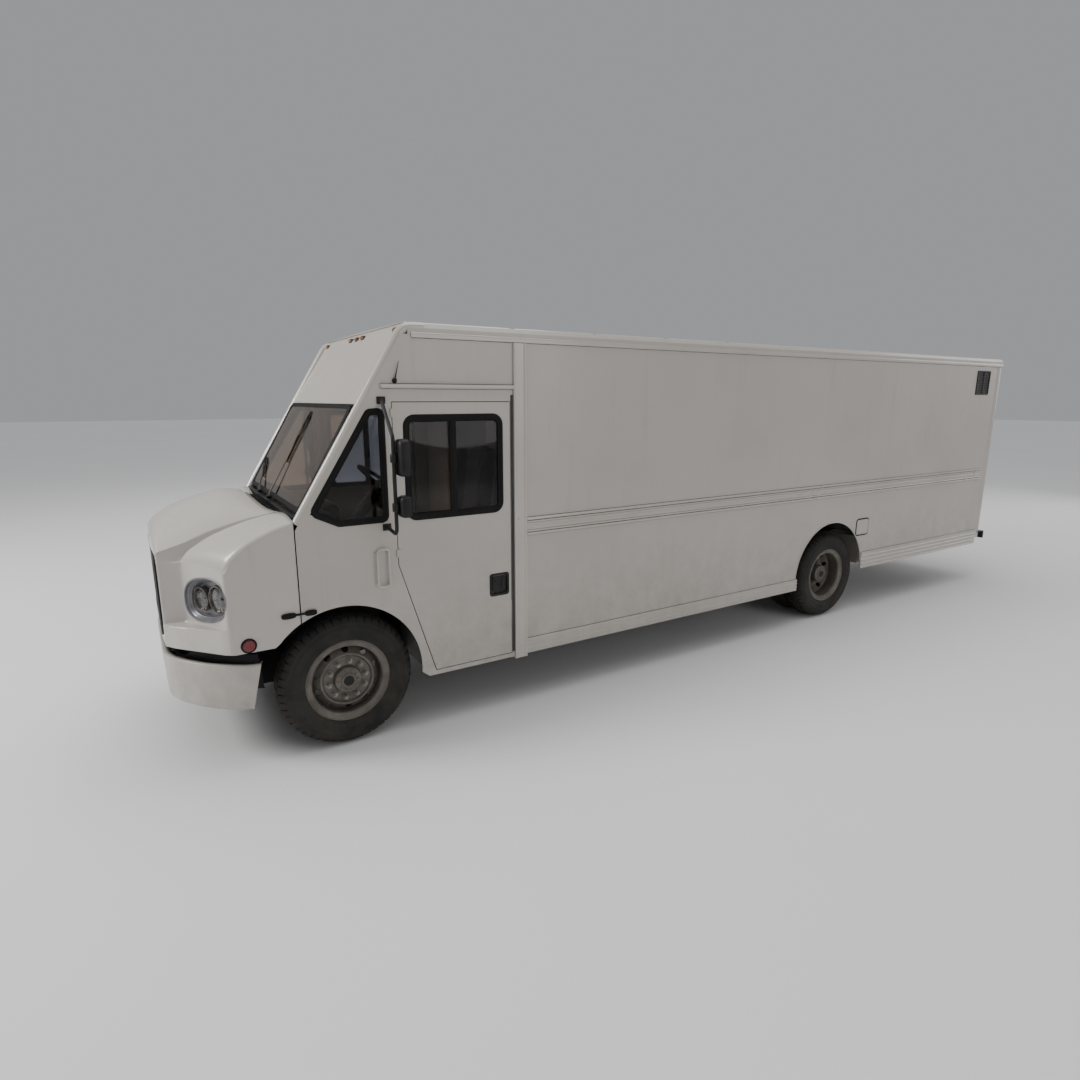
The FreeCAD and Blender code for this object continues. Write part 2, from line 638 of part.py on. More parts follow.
def make_posts():
    pillar = strut("a_pillar", *PILLAR, 36)
    b_post = box("b_post", ("half_width - 40", "post_front", 413),
                 ("half_width + 18", "post_rear", 3038))
    inside = box("b_post_inside", ("half_width - 36", "post_front + 4", 400),
                 ("half_width + 14", "post_rear - 4", 3034))
    hollow_post = cut("b_post_shell", b_post, inside)
    corner = box("corner_post", ("half_width - 100", "rear_post", 620),
                 ("half_width", "body_rear", "roof_edge"))
    corner_inside = box("corner_inside", ("half_width - 96", "rear_post + 4", 610),
                        ("half_width - 4", "body_rear - 4", "roof_edge - 4"))
    corner_shell = cut("corner_shell", corner, corner_inside)
    header = box("rear_header", ("100 - half_width", "rear_post", 2905),
                 ("half_width - 100", "body_rear", "roof_edge"))
    header_inside = box("header_inside", ("90 - half_width", "rear_post + 4", 2909),
                        ("half_width - 90", "body_rear - 4", "roof_edge - 4"))
    sill = box("rear_sill", ("100 - half_width", "rear_post", 934),
               ("half_width - 100", "body_rear", "floor_top"))
    apron = box("rear_apron", ("100 - half_width", "body_rear - 4", 722),
                ("half_width - 100", "body_rear", 934))
    portal = join("rear_portal", apron, corner_shell, mirrored("corner_other", corner_shell),
                  cut("header_shell", header, header_inside), sill)
    node(group("body_posts", pillar, mirrored("a_pillar_other", pillar), hollow_post,
               mirrored("b_post_other", hollow_post), portal), "body_posts")


def tilted(name, low_edge, high_edge, half, thick, out):
    """A plate in the windshield's plane, between two distances up its slope."""
    thing = doc.addObject("Part::Box", name)
    bind(thing, "Length", "2 * (%s)" % half)
    bind(thing, "Width", thick)
    bind(thing, "Height", "(%s) - (%s)" % (high_edge, low_edge))
    turn = FreeCAD.Rotation(V(1, 0, 0), -DIMENSIONS["glass_tilt"])
    thing.Placement = FreeCAD.Placement(V(), turn)
    bind(thing, "Placement.Base.x", "-(%s)" % half)
    lean = "sin(glass_tilt * 1 deg)"
    rise = "cos(glass_tilt * 1 deg)"
    bind(thing, "Placement.Base.y", "glass_low_y + (%s) * %s + (%s) * %s" % (low_edge, lean, out, rise))
    bind(thing, "Placement.Base.z", "glass_low_z + (%s) * %s - (%s) * %s" % (low_edge, rise, out, lean))
    return thing


def make_glass():
    shield = tilted("windshield", 26, "glass_slope - 26", "glass_half - 34", 6, 4)
    inner = [(-4307, 1829), (-4122, 1744), (-3788, 1744), (-3788, 2520), (-3878, 2513)]
    quarter = panel("quarter_glass", "YZ", inner, 5, "half_width - 4")
    node(group("fixed_glass", shield, quarter, mirrored("quarter_other", quarter)), "fixed_glass")
    frame = cut("shield_frame", tilted("frame_outer", 0, "glass_slope", "glass_half - 42", 14, 0),
                tilted("frame_inner", 26.5, "glass_slope - 26.5", "glass_half - 68", 60, -20))
    groove = tilted("frame_groove", 25.5, "glass_slope - 25.5", "glass_half - 33.5", 7, 3.5)
    seal = cut("quarter_seal", panel("seal_outer", "YZ", QUARTER_WINDOW, 9, "half_width - 4"),
               panel("seal_inner", "YZ", inner, 40, "half_width - 20"))
    node(group("window_gaskets", cut("shield_seal", frame, groove), seal,
               mirrored("quarter_seal_other", seal)), "window_gaskets")


def make_front_cap():
    slope = [(-3938, 2577), ("cap_top_y", "roof_edge"), (-3552, 3150), (-3548, 3146),
             ("cap_top_y + 4", "roof_edge - 2"), (-3933, 2573)]
    cap = panel("cap_sheet", "YZ", slope, 2000, -1000)
    node(cap, "front_cap")


def make_cowl():
    outline = [(-1020, 1138), (-446, 1138), (-446, "rail_top + 4"), (446, "rail_top + 4"),
               (446, 1138), (1020, 1138), (1020, 1790), (-1020, 1790)]
    wall = panel("firewall", "XZ", outline, 6, "seam_y + 4")
    tunnel = box("tunnel_gap", (-360, -4500, 900), (360, -4300, 1440))
    top = box("cowl_top", (-1000, "seam_y + 4", 1790), (1000, "glass_low_y - 2", 1796))
    cover = box("engine_cover_outer", (-370, "seam_y + 10", "floor_top"), (370, -3950, 1480))
    inside = box("engine_cover_inside", (-365, -4500, 900), (365, -3955, 1475))
    node(join("cowl_panel", cut("firewall_sheet", wall, tunnel), top,
              cut("engine_cover", cover, inside)), "cowl_panel")


def make_floor():
    deck = box("cargo_deck", (-1060, -2536, "floor_top - 30"), (1060, "rear_post", "floor_top"))
    well = box("well_cut", ("rail_x + 20", "rear_axle_y - 640", 900),
               (1100, "rear_axle_y + 577", 1300))
    other = mirrored("well_cut_other", well)
    notch = box("filler_notch", (940, 2268, 900), (1100, 2440, 1100))
    beams = [cut("deck_sheet", deck, well, other, notch)]
    for number, y in enumerate((-2400, -1700, -1000, -300, 400, 2500, 3200, 3900, 4600)):
        beams.append(box("deck_beam_%d" % number, (-1050, y, "rail_top"),
                         (1050, y + 50, "floor_top - 30")))
    house = box("wheelhouse_outer", ("rail_x + 16", "rear_axle_y - 644", "floor_top - 30"),
                (1060, "rear_axle_y + 581", 1160))
    house_in = box("wheelhouse_inner", ("rail_x + 20", "rear_axle_y - 640", 900),
                   (1100, "rear_axle_y + 577", 1156))
    wheelhouse = cut("wheelhouse", house, house_in)
    cargo = join("cargo_floor", *beams, wheelhouse, mirrored("wheelhouse_other", wheelhouse))

    middle = box("cab_deck", (-446, -4400, "floor_top - 4"), (446, -2536, "floor_top"))
    notch = box("cover_notch", (-364, -4500, 900), (364, -3956, 1100))
    pan = cut("cab_pan", middle, notch)
    side = [box("cab_wing", (446, -3484, "floor_top - 4"), (790, -2536, "floor_top")),
            box("step_riser", (786, -3484, 470), (790, -2720, "floor_top")),
            box("step_tread", (786, -3484, 466), (1064, -2720, 470)),
            box("step_end", (786, -2720, 466), (1064, -2716, "floor_top")),
            box("arch_wall", (442, -3488, 466), (1064, -3484, 1136)),
            box("arch_top", (442, -4400, 1132), (1064, -3484, 1136)),
            box("arch_side", (442, -4400, "floor_top - 4"), (446, -3484, 1136))]
    left = join("cab_step_left", *side)
    cab = join("cab_floor", pan, left, mirrored("cab_step_right", left))
    node(join("floor_pan", cargo, cab), "floor_pan")


def make_bulkhead():
    wall = [(-1056, "floor_top + 1"), (1056, "floor_top + 1"), (1056, 3050), (-1056, 3050)]
    doorway = [(-350, "floor_top + 41"), (350, "floor_top + 41"), (350, 2950), (-350, 2950)]
    node(panel("bulkhead", "XZ", wall, 20, -2560, [doorway]), "bulkhead")


def make_dashboard():
    outline = [(-4410, 1560), (-4410, 1780), (-4370, 1786), (-4190, 1800), (-4080, 1740),
               (-4080, 1640), (-4160, 1560)]
    desk = panel("dash_desk", "YZ", outline, 1960, -980)
    cowl = panel("gauge_cowl", "YZ", [(-4200, 1780), (-4110, 1850), (-4040, 1800), (-4060, 1660),
                                      (-4180, 1660)], 420, 390)
    column = strut("steering_column", (600, -4190, 1274), (600, -3663, 1908), 30)
    leg = box("column_foot", (560, -4250, 1136), (640, -4150, 1320))
    node(join("dashboard", desk, cowl, column, leg), "dashboard")


def bumper_plan(inset):
    """The bumper seen from above, set in by its thickness: straight across the front, with
    sides that sweep back round the corners."""
    front = DIMENSIONS["nose_y"] + inset
    end = V(1075 - inset, DIMENSIONS["nose_y"] + 580, 0)
    sweep = [V(430, front, 0), V(620 - 0.3 * inset, front + 32, 0),
             V(800 - 0.7 * inset, front + 140, 0), V(930 - 0.9 * inset, front + 262, 0),
             V(1020 - inset, DIMENSIONS["nose_y"] + 400, 0), end]
    right = Part.BSplineCurve()
    right.interpolate(Points=sweep, InitialTangent=V(1, 0, 0), FinalTangent=V(0.2, 1, 0))
    left = right.copy()
    left.mirror(V(), V(0, 1, 0))
    mirror_end = V(-end.x, end.y, 0)
    edges = [right.toShape(), Part.LineSegment(end, mirror_end).toShape(), left.toShape(),
             Part.LineSegment(V(-430, front, 0), V(430, front, 0)).toShape()]
    return Part.Face(Part.Wire(Part.__sortEdges__(edges)))


def make_bumpers():
    solid = bumper_plan(0).extrude(V(0, 0, 340))
    hollow = bumper_plan(12).extrude(V(0, 0, 324))
    hollow.translate(V(0, 0, 8))
    shell = solid.cut(hollow)
    shell = shell.cut(Part.makeBox(1700, 900, 400, V(-850, DIMENSIONS["nose_y"] + 230, -20)))
    slant = Part.makePolygon([V(-1200, -4830, -10), V(-1200, -4700, -10), V(-1200, -4700, 350),
                              V(-1200, -4716, 350), V(-1200, -4830, -10)])
    shell = shell.cut(Part.Face(slant).extrude(V(2400, 0, 0)))
    bumper = shaped("front_bumper", shell)
    bumper.Placement = FreeCAD.Placement(V(0, 0, 460), FreeCAD.Rotation())
    node(bumper, "front_bumper")

    beam = box("step_beam", (-1000, "tail_y - 100", 590), (1000, "tail_y", 700))
    hollow = box("step_hollow", (-990, "tail_y - 110", 600), (990, "tail_y - 6", 690))
    leg = box("step_leg", ("rail_x - 60", 5110, 600), ("rail_x", "tail_y - 6", 699))
    node(join("rear_bumper", cut("step_shell", beam, hollow), leg,
              mirrored("step_leg_other", leg)), "rear_bumper")


# --------------------------------------------------------------------------- fittings
def make_lamps():
    solids = []
    for number, x in enumerate(CLEARANCE_LAMPS):
        lamp = doc.addObject("Part::Box", "roof_lamp_%d" % number)
        lamp.Length = 70
        lamp.Width = 16
        lamp.Height = 26
        lean = FreeCAD.Rotation(V(1, 0, 0), -37.5)
        lamp.Placement = FreeCAD.Placement(V(x - 35, -3615, 3096), lean)
        solids.append(lamp)
        solids.append(box("rear_lamp_%d" % number, (x - 35, "body_rear", 3000),
                          (x + 35, "body_rear + 14", 3024)))
    for side in (-1, 1):
        for number, z in enumerate((1180, 1330)):
            name = "tail_lamp_%d_%d" % (side + 1, number)
            solids.append(rod(name, "Y", (side * 1054, "body_rear", z), 16, 40))
    node(group("body_lamps", *solids), "body_lamps")


def make_fittings():
    base = ball("antenna_base", ("half_width + 15", -3672, 2742), 14)
    mast = strut("antenna_mast", (1115, -3672, 2742), (1124, -3644, 2874), 4)
    grip = strut("grab_bar", (1128, -3828, 1225), (1128, -3828, 1525), 11)
    feet = [box("grab_foot_%d" % z, ("half_width + 0.2", -3840, z), (1132, -3816, z + 22))
            for z in (1221, 1507)]
    handle = join("grab_handle", grip, *feet)
    vent = box("vent_plate", ("half_width", 4526, 2662), ("half_width + 8", 4868, 2983))
    slots = [box("vent_slot_%d_%d" % (column, line),
                 (1090, 4546 + 160 * column, 2686 + 36 * line),
                 (1130, 4690 + 160 * column, 2704 + 36 * line))
             for column in range(2) for line in range(8)]
    louvre = cut("vent", vent, *slots)
    node(group("body_fittings", join("antenna", base, mast), handle,
               mirrored("grab_handle_other", handle), louvre,
               mirrored("vent_other", louvre)), "body_fittings")


def make_mirrors():
    path = [(1114, -3780, 2604), (1345, -3790, 2350), (1345, -3790, 1662), (1114, -3780, 1682)]
    tubes = [strut("mirror_tube_%d" % i, path[i], path[i + 1], 14) for i in range(3)]
    bends = [ball("mirror_bend_%d" % i, path[i], 14) for i in (1, 2)]
    plates = [box("mirror_foot_%d" % z, ("half_width + 0.2", -3810, z - 24),
                  ("half_width + 18", -3750, z + 24)) for z in (2600, 1680)]
    arm = join("mirror_arm", *tubes, *bends, *plates)
    node(pair("mirror_arms", arm), "mirror_arms")

    pieces = []
    for name, low, high, half in (("flat", 2076, 2338, 85), ("spot", 1785, 1940, 72)):
        head = box(name + "_head", (1345 - half, -3768, low), (1345 + half, -3694, high))
        middle = 0.5 * (low + high) - 30
        clamp = rod(name + "_clamp", "Z", (1345, -3790, middle), 60, 25)
        bore = rod(name + "_bore", "Z", (1345, -3790, middle - 5), 70, 14.05)
        pieces.append(cut(name + "_mirror", join(name + "_solid", head, clamp), bore))
    both_sides(group("mirror_head", *pieces), "mirror_heads")


def make_wipers():
    """Arms and blades lie in the windshield's plane, just in front of the glass."""
    lean = math.radians(DIMENSIONS["glass_tilt"])
    up = V(0, math.sin(lean), math.cos(lean))
    out = V(0, -math.cos(lean), math.sin(lean))
    for name, pivot_x, swing, reach in (("left", 20, 6, 800), ("right", -420, 58, 560)):
        root = V(pivot_x, DIMENSIONS["glass_low_y"], DIMENSIONS["glass_low_z"]) + up * -6 + out * 22
        turn = math.radians(swing)
        along = V(-math.sin(turn), 0, 0) + up * math.cos(turn)
        spindle = strut("wiper_spindle_" + name, tuple(root - out * 12), tuple(root + out * 14), 16)
        arm = strut("wiper_arm_" + name, tuple(root), tuple(root + along * reach * 0.72), 7)
        blade = strut("wiper_blade_" + name, tuple(root + along * reach * 0.4 - out * 4),
                      tuple(root + along * reach - out * 4), 8)
        node(join("wiper_" + name, spindle, arm, blade), "wiper_" + name)


# --------------------------------------------------------------------------- doors
def make_cab_doors():
    window = [(-3615, 1717), (-3615, 2488), (-2805, 2488), (-2805, 1717)]
    sheet_door = panel("door_sheet", "YZ", DOOR_OUTLINE, 30, "half_width - 30", [window])
    hollow_low = [(-3660, 1680), (-3660, 1385), (-3400, 520), (-2770, 520), (-2770, 1680)]
    hollow = panel("door_hollow", "YZ", hollow_low, 22, "half_width - 26")
    recess = box("handle_recess", ("half_width - 18", -2921, 1015), ("half_width + 5", -2764, 1183))
    pocket = box("handle_cup", ("half_width - 22", -2925, 1011), ("half_width - 3.9", -2760, 1187))
    shell = cut("door_shell", sheet_door, hollow)
    door = cut("cab_door", join("door_with_cup", shell, pocket), recess)
    knuckle = [rod("door_hinge_%d" % z, "Z", ("half_width + 7", "door_front - 12", z), 60, 6)
               for z in CAB_HINGES]
    leaf = [box("hinge_leaf_%d" % z, ("half_width", "door_front - 9", z),
                ("half_width + 8", "door_front + 26", z + 60)) for z in CAB_HINGES]
    both_sides(join("cab_door_solid", door, *knuckle, *leaf), "cab_door")

    rear_pane = box("fixed_pane", ("half_width - 14", -3240, 1718), ("half_width - 9", -2806, 2487))
    both_sides(rear_pane, "door_glass")
    both_sides(box("moving_pane", ("half_width - 24", -3614, 1718),
                   ("half_width - 19", -3200, 2487)), "sliding_pane")
    lever = box("handle_lever", ("half_width - 16", -2919, 1017), ("half_width + 2", -2766, 1181))
    finger = box("finger_space", ("half_width - 12", -2905, 1000), ("half_width - 3", -2780, 1120))
    both_sides(cut("door_handle", lever, finger), "door_handle")


def make_rear_doors():
    window = [(300, 1900), (720, 1900), (720, 2500), (300, 2500)]
    outline = [(4, 1030), (992, 1030), (992, 2898), (4, 2898)]
    leaf = panel("rear_leaf", "XZ", outline, 12, 5160, [window])
    pane = box("rear_pane", (298, 5164, 1898), (722, 5168, 2502))
    ribs = [box("rear_rib_%d" % z, (20, 5150, z), (980, 5160, z + 60)) for z in (1060, 1700, 2800)]
    hinge = [rod("rear_hinge_%d" % z, "Z", (1001, "body_rear + 6", z), 80, 6)
             for z in REAR_HINGES]
    strap = [box("rear_strap_%d" % z, (820, 5172, z), (1000, 5196, z + 80))
             for z in REAR_HINGES]
    bar = rod("lock_rod", "Z", (60, 5186, 1040), 1840, 9)
    keep = [box("rod_keep_%d" % z, (44, 5171, z), (76, 5190, z + 40)) for z in (1100, 1500, 2780)]
    both_sides(join("rear_door", leaf, pane, *ribs, *hinge, *strap, bar, *keep), "rear_door")


def make_fuel_door():
    flap = box("flap", ("half_width + 0.5", 2114, 975), ("half_width + 5", 2344, 1160))
    barrel = rod("flap_hinge", "Z", ("half_width + 5", 2346, 990), 155, 4)
    node(join("fuel_door", flap, barrel), "fuel_door")


# --------------------------------------------------------------------------- driver's place
def make_seat():
    base = box("seat_pedestal", (460, -3180, "floor_top + 1"), (740, -2880, 1340))
    tray = box("seat_tray", (380, -3300, 1340), (820, -2860, 1385))
    plate = box("back_plate", (400, -2882, 1345), (800, -2860, 1502))
    node(join("seat_base", base, tray, plate), "seat_base")
    cushion = box("cushion_block", (345, -3340, 1386), (855, -2885, 1510))
    doc.recompute()
    soft = doc.addObject("Part::Fillet", "seat_cushion")
    soft.Base = cushion
    soft.Edges = [(i, 28.0, 28.0) for i in range(1, 13)]
    node(soft, "seat_cushion")
    outline = [(-2880, 1520), (-2740, 1505), (-2665, 2150), (-2680, 2250), (-2770, 2262), (-2790, 2160)]
    back = panel("seat_back_block", "YZ", outline, 430, 385)
    node(back, "seat_back")


def make_controls():
    tilt = FreeCAD.Rotation(V(1, 0, 0), -39.7)
    ring = doc.addObject("Part::Torus", "wheel_rim")
    ring.Radius1 = 225
    ring.Radius2 = 14
    hub = doc.addObject("Part::Cylinder", "wheel_hub")
    hub.Radius = 55
    hub.Height = 40
    centre = V(600, -3640, 1935)
    axis = tilt.multVec(V(0, 0, 1))
    ring.Placement = FreeCAD.Placement(centre + axis * 10, tilt)
    hub.Placement = FreeCAD.Placement(centre - axis * 30, tilt)
    spokes = []
    for number, angle in enumerate((0, 90, 180)):
        across = tilt.multVec(V(math.cos(math.radians(angle)), -math.sin(math.radians(angle)), 0))
        start = centre + across * 40
        end = centre + across * 220 + axis * 8
        spokes.append(strut("wheel_spoke_%d" % number, tuple(start), tuple(end), 11))
    node(join("steering_wheel", ring, hub, *spokes), "steering_wheel")

    for name, x, half in (("brake_pedal", 515, 38), ("accelerator_pedal", 405, 26)):
        pad = box(name + "_pad", (x - half, -4060, 1180), (x + half, -4046, 1270))
        arm = box(name + "_arm", (x - 7, -4075, 1240), (x + 7, -4060, 1530))
        pivot = rod(name + "_pivot", "X", (x - 20, -4068, 1530), 40, 12)
        node(join(name, pad, arm, pivot), name)


# --------------------------------------------------------------------------- build
make_chassis()
make_axles()
make_springs()
make_driveline()
make_fuel_tank()
make_front_wheels()
make_rear_wheels()
make_hood()
make_hood_trim()
make_cab_sides()
make_side_panels()
make_roof()
make_rails()
make_posts()
make_glass()
make_front_cap()
make_cowl()
make_floor()
make_bulkhead()
make_dashboard()
make_bumpers()
make_lamps()
make_fittings()
make_mirrors()
make_wipers()
make_cab_doors()
make_rear_doors()
make_fuel_door()
make_seat()
make_controls()
doc.recompute()

for thing in doc.Objects:
    if "Invalid" in thing.State or "Error" in thing.State:
        raise RuntimeError("%s did not recompute: %s" % (thing.Name, thing.State))

os.makedirs("parts", exist_ok=True)
for thing in NODES:
    shape = thing.Shape
    if shape.isNull() or not shape.isValid() or not shape.Solids:
        raise RuntimeError("%s has no valid solid" % thing.Label)
    shape.exportStep("parts/%s.step" % thing.Label)
print("%d sub-parts written" % len(NODES))
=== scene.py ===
import json
import math

import bmesh
import bpy
import numpy as np
from mathutils import Matrix, Vector


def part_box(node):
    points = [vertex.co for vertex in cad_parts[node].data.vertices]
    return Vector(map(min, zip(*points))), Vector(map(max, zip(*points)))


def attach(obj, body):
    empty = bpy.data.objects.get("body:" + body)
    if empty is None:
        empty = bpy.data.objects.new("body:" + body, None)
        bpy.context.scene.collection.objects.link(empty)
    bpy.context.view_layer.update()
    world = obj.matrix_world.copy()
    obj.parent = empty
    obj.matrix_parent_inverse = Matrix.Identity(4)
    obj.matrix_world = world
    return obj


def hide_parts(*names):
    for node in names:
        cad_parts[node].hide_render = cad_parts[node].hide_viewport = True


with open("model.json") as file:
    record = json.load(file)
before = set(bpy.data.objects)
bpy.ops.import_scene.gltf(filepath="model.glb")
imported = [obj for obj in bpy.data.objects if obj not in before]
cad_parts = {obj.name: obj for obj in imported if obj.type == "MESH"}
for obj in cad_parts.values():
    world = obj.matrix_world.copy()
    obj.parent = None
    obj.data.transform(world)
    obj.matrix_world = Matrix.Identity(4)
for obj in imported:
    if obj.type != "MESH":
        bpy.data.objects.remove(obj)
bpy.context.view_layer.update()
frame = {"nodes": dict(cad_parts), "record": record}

SIDES = (("left", 1), ("right", -1))


# ------------------------------------------------------------------ materials
def add(tree, kind, inputs=None, **settings):
    node = tree.nodes.new(kind)
    for key, value in settings.items():
        setattr(node, key, value)
    for key, value in (inputs or {}).items():
        if hasattr(value, "links"):
            tree.links.new(value, node.inputs[key])
        else:
            node.inputs[key].default_value = value
    return node


def rgba(colour):
    return (*colour[:3], 1.0)


def noise(tree, coords, scale, detail=4.0, rough=0.55, stretch=None):
    """A grey noise field, stretched by a factor along each axis."""
    if stretch:
        coords = add(tree, "ShaderNodeMapping", {"Vector": coords, "Scale": stretch}).outputs[0]
    return add(tree, "ShaderNodeTexNoise", {"Vector": coords, "Scale": scale, "Detail": detail,
                                            "Roughness": rough}).outputs["Fac"]


def ramp(tree, value, low, high, to_low=0.0, to_high=1.0):
    return add(tree, "ShaderNodeMapRange", {"Value": value, "From Min": low, "From Max": high,
                                            "To Min": to_low, "To Max": to_high}).outputs[0]


def math_node(tree, kind, a, b):
    return add(tree, "ShaderNodeMath", {0: a, 1: b}, operation=kind).outputs[0]


def blended(tree, share, a, b):
    """Colour a, turning into colour b by a share from 0 to 1."""
    node = add(tree, "ShaderNodeMix", data_type="RGBA")
    for socket, value in ((node.inputs[0], share), (node.inputs[6], a), (node.inputs[7], b)):
        if hasattr(value, "links"):
            tree.links.new(value, socket)
        elif socket == node.inputs[0]:
            socket.default_value = value
        else:
            socket.default_value = rgba(value)
    return node.outputs[2]


def surface(name, colour, other, rough, metal=0.0, patch=1.5, rough_spread=0.12, grain=300.0,
            relief=0.0004, grime=0.0, grime_colour=(0.09, 0.075, 0.06), grime_top=1.5,
            worn=0.0, worn_colour=(0.5, 0.5, 0.5), coat=0.0, streak=None, ripple=0.0,
            specular=0.5, sheen=0.0):
    """A solid finish: two mixed tones, road dirt low down, rubbed edges, grain and uneven gloss."""
    material = bpy.data.materials.new(name)
    material.use_nodes = True
    tree = material.node_tree
    shader = tree.nodes["Principled BSDF"]
    coords = add(tree, "ShaderNodeTexCoord").outputs["Object"]
    broad = noise(tree, coords, patch, 5.0)
    fine = noise(tree, coords, grain, 3.0, 0.6)
    base = blended(tree, ramp(tree, broad, 0.35, 0.68), colour, other)
    uneven = ramp(tree, broad, 0.3, 0.7, rough - rough_spread / 2, rough + rough_spread / 2)
    if streak:
        lines = noise(tree, coords, 1.0, 6.0, 0.7, streak)
        base = blended(tree, ramp(tree, lines, 0.56, 0.8, 0.0, 0.13), base, grime_colour)
    if grime:
        height = add(tree, "ShaderNodeSeparateXYZ", {"Vector": coords}).outputs["Z"]
        low = ramp(tree, height, grime_top, 0.25)
        spots = ramp(tree, noise(tree, coords, 7.0, 8.0, 0.65), 0.32, 0.72)
        share = math_node(tree, "MULTIPLY", math_node(tree, "MULTIPLY", low, spots), grime)
        base = blended(tree, share, base, grime_colour)
        uneven = math_node(tree, "ADD", uneven, math_node(tree, "MULTIPLY", share, 0.35))
    if worn:
        soft = add(tree, "ShaderNodeBevel", {"Radius": 0.006}, samples=4).outputs[0]
        sharp = add(tree, "ShaderNodeNewGeometry").outputs["Normal"]
        same = add(tree, "ShaderNodeVectorMath", {0: soft, 1: sharp}, operation="DOT_PRODUCT")
        edge = ramp(tree, same.outputs["Value"], 0.985, 0.80)
        chips = ramp(tree, noise(tree, coords, 26.0, 6.0, 0.7), 0.47, 0.62)
        share = math_node(tree, "MULTIPLY", math_node(tree, "MULTIPLY", edge, chips), worn)
        base = blended(tree, share, base, worn_colour)
    tree.links.new(base, shader.inputs["Base Color"])
    tree.links.new(uneven, shader.inputs["Roughness"])
    bump = add(tree, "ShaderNodeBump", {"Height": fine, "Strength": 0.6, "Distance": relief})
    if ripple:
        waves = noise(tree, coords, 2.2, 2.0, 0.4)
        bump = add(tree, "ShaderNodeBump", {"Height": waves, "Strength": 0.5, "Distance": ripple,
                                            "Normal": bump.outputs[0]})
    tree.links.new(bump.outputs[0], shader.inputs["Normal"])
    shader.inputs["Metallic"].default_value = metal
    shader.inputs["Coat Weight"].default_value = coat
    shader.inputs["Coat Roughness"].default_value = 0.12
    shader.inputs["Specular IOR Level"].default_value = specular
    shader.inputs["Sheen Weight"].default_value = sheen
    return material


def glazing(name, colour, rough=0.015, smear=0.05):
    """Clear or tinted glass with faint dust smears."""
    material = bpy.data.materials.new(name)
    material.use_nodes = True
    tree = material.node_tree
    shader = tree.nodes["Principled BSDF"]
    coords = add(tree, "ShaderNodeTexCoord").outputs["Object"]
    dust = noise(tree, coords, 5.0, 7.0, 0.65)
    tint = blended(tree, ramp(tree, dust, 0.35, 0.75), colour, tuple(c * 0.86 for c in colour))
    tree.links.new(tint, shader.inputs["Base Color"])
    tree.links.new(ramp(tree, dust, 0.4, 0.8, rough, rough + smear), shader.inputs["Roughness"])
    shader.inputs["Transmission Weight"].default_value = 1.0
    shader.inputs["IOR"].default_value = 1.3
    return material


OFF_WHITE = (0.468, 0.435, 0.396)
OFF_WHITE_DEEP = (0.438, 0.405, 0.367)
paint = surface("body_paint", OFF_WHITE, OFF_WHITE_DEEP, 0.36, patch=1.2, grain=900.0,
                relief=0.00008, grime=0.35, worn=0.35, worn_colour=(0.36, 0.35, 0.33), coat=0.25,
                ripple=0.0006, streak=(9.0, 9.0, 0.6))
# Painted light: the hood paint is the body's off-white mixed lighter, standing in for the stronger light
# falling on the hood's front-facing surfaces.
hood_paint = surface("hood_paint", (0.50, 0.470, 0.433), (0.47, 0.44, 0.402), 0.33, patch=1.6,
                     grain=900.0, relief=0.00008, grime=0.35, grime_top=1.3, worn=0.25,
                     worn_colour=(0.4, 0.39, 0.37), coat=0.3, streak=(7.0, 7.0, 0.8))
trim = surface("trim_metal", (0.50, 0.468, 0.428), (0.455, 0.424, 0.384), 0.30, metal=0.12,
               patch=1.2, rough_spread=0.06, grain=800.0, relief=0.00005, grime=0.2, coat=0.3)
frame_steel = surface("frame_steel", (0.018, 0.018, 0.019), (0.035, 0.032, 0.03), 0.5, patch=4.0,
                      grime=0.8, worn=0.7, worn_colour=(0.16, 0.09, 0.05))
cast_iron = surface("cast_iron", (0.07, 0.066, 0.062), (0.11, 0.085, 0.065), 0.62, metal=0.5,
                    patch=6.0, grain=160.0, relief=0.001, grime=0.7, worn=0.5)
wheel_steel = surface("wheel_steel", (0.165, 0.15, 0.13), (0.11, 0.098, 0.083), 0.42, metal=0.35,
                      patch=9.0, grime=0.75, grime_top=1.2, grain=240.0, worn=0.7,
                      worn_colour=(0.30, 0.275, 0.24), relief=0.0003)
tyre_rubber = surface("tyre_rubber", (0.014, 0.0135, 0.013), (0.028, 0.026, 0.024), 0.72,
                      patch=7.0, grime=0.5, grime_top=1.0, grime_colour=(0.075, 0.064, 0.05),
                      grain=420.0, relief=0.0006, specular=0.3)
black_plastic = surface("black_plastic", (0.0075, 0.0075, 0.008), (0.016, 0.016, 0.0165), 0.45,
                        patch=5.0, grain=700.0, relief=0.0005, worn=0.3,
                        specular=0.3, worn_colour=(0.07, 0.07, 0.07))
black_rubber = surface("black_rubber", (0.0045, 0.0045, 0.0045), (0.010, 0.0095, 0.009), 0.58,
                       patch=6.0, grain=500.0, relief=0.0004, specular=0.18)
dark_metal = surface("dark_metal", (0.022, 0.022, 0.023), (0.04, 0.038, 0.036), 0.38, metal=0.3,
                     patch=5.0, grain=500.0, relief=0.0003, worn=0.5, grime=0.3,
                     worn_colour=(0.18, 0.16, 0.14))
floor_sheet = surface("floor_sheet", (0.30, 0.30, 0.30), (0.22, 0.215, 0.21), 0.42, metal=0.7,
                      patch=3.0, grain=200.0, relief=0.0006, worn=0.5, streak=(3.0, 0.4, 3.0))
glass = glazing("tinted_glass", (0.40, 0.41, 0.44))
# Painted reflection: the windshield glass is tinted orange, standing in for the warm glow reflected in the
# windshield.
windshield_glass_painted_reflection = glazing("windshield_glass_painted_reflection", (0.66, 0.44, 0.27))
cloth = surface("seat_cloth", (0.035, 0.035, 0.04), (0.055, 0.054, 0.06), 0.88, patch=9.0,
                grain=900.0, relief=0.0008, sheen=0.4)
lens = glazing("clear_lens", (0.85, 0.86, 0.88), 0.03)

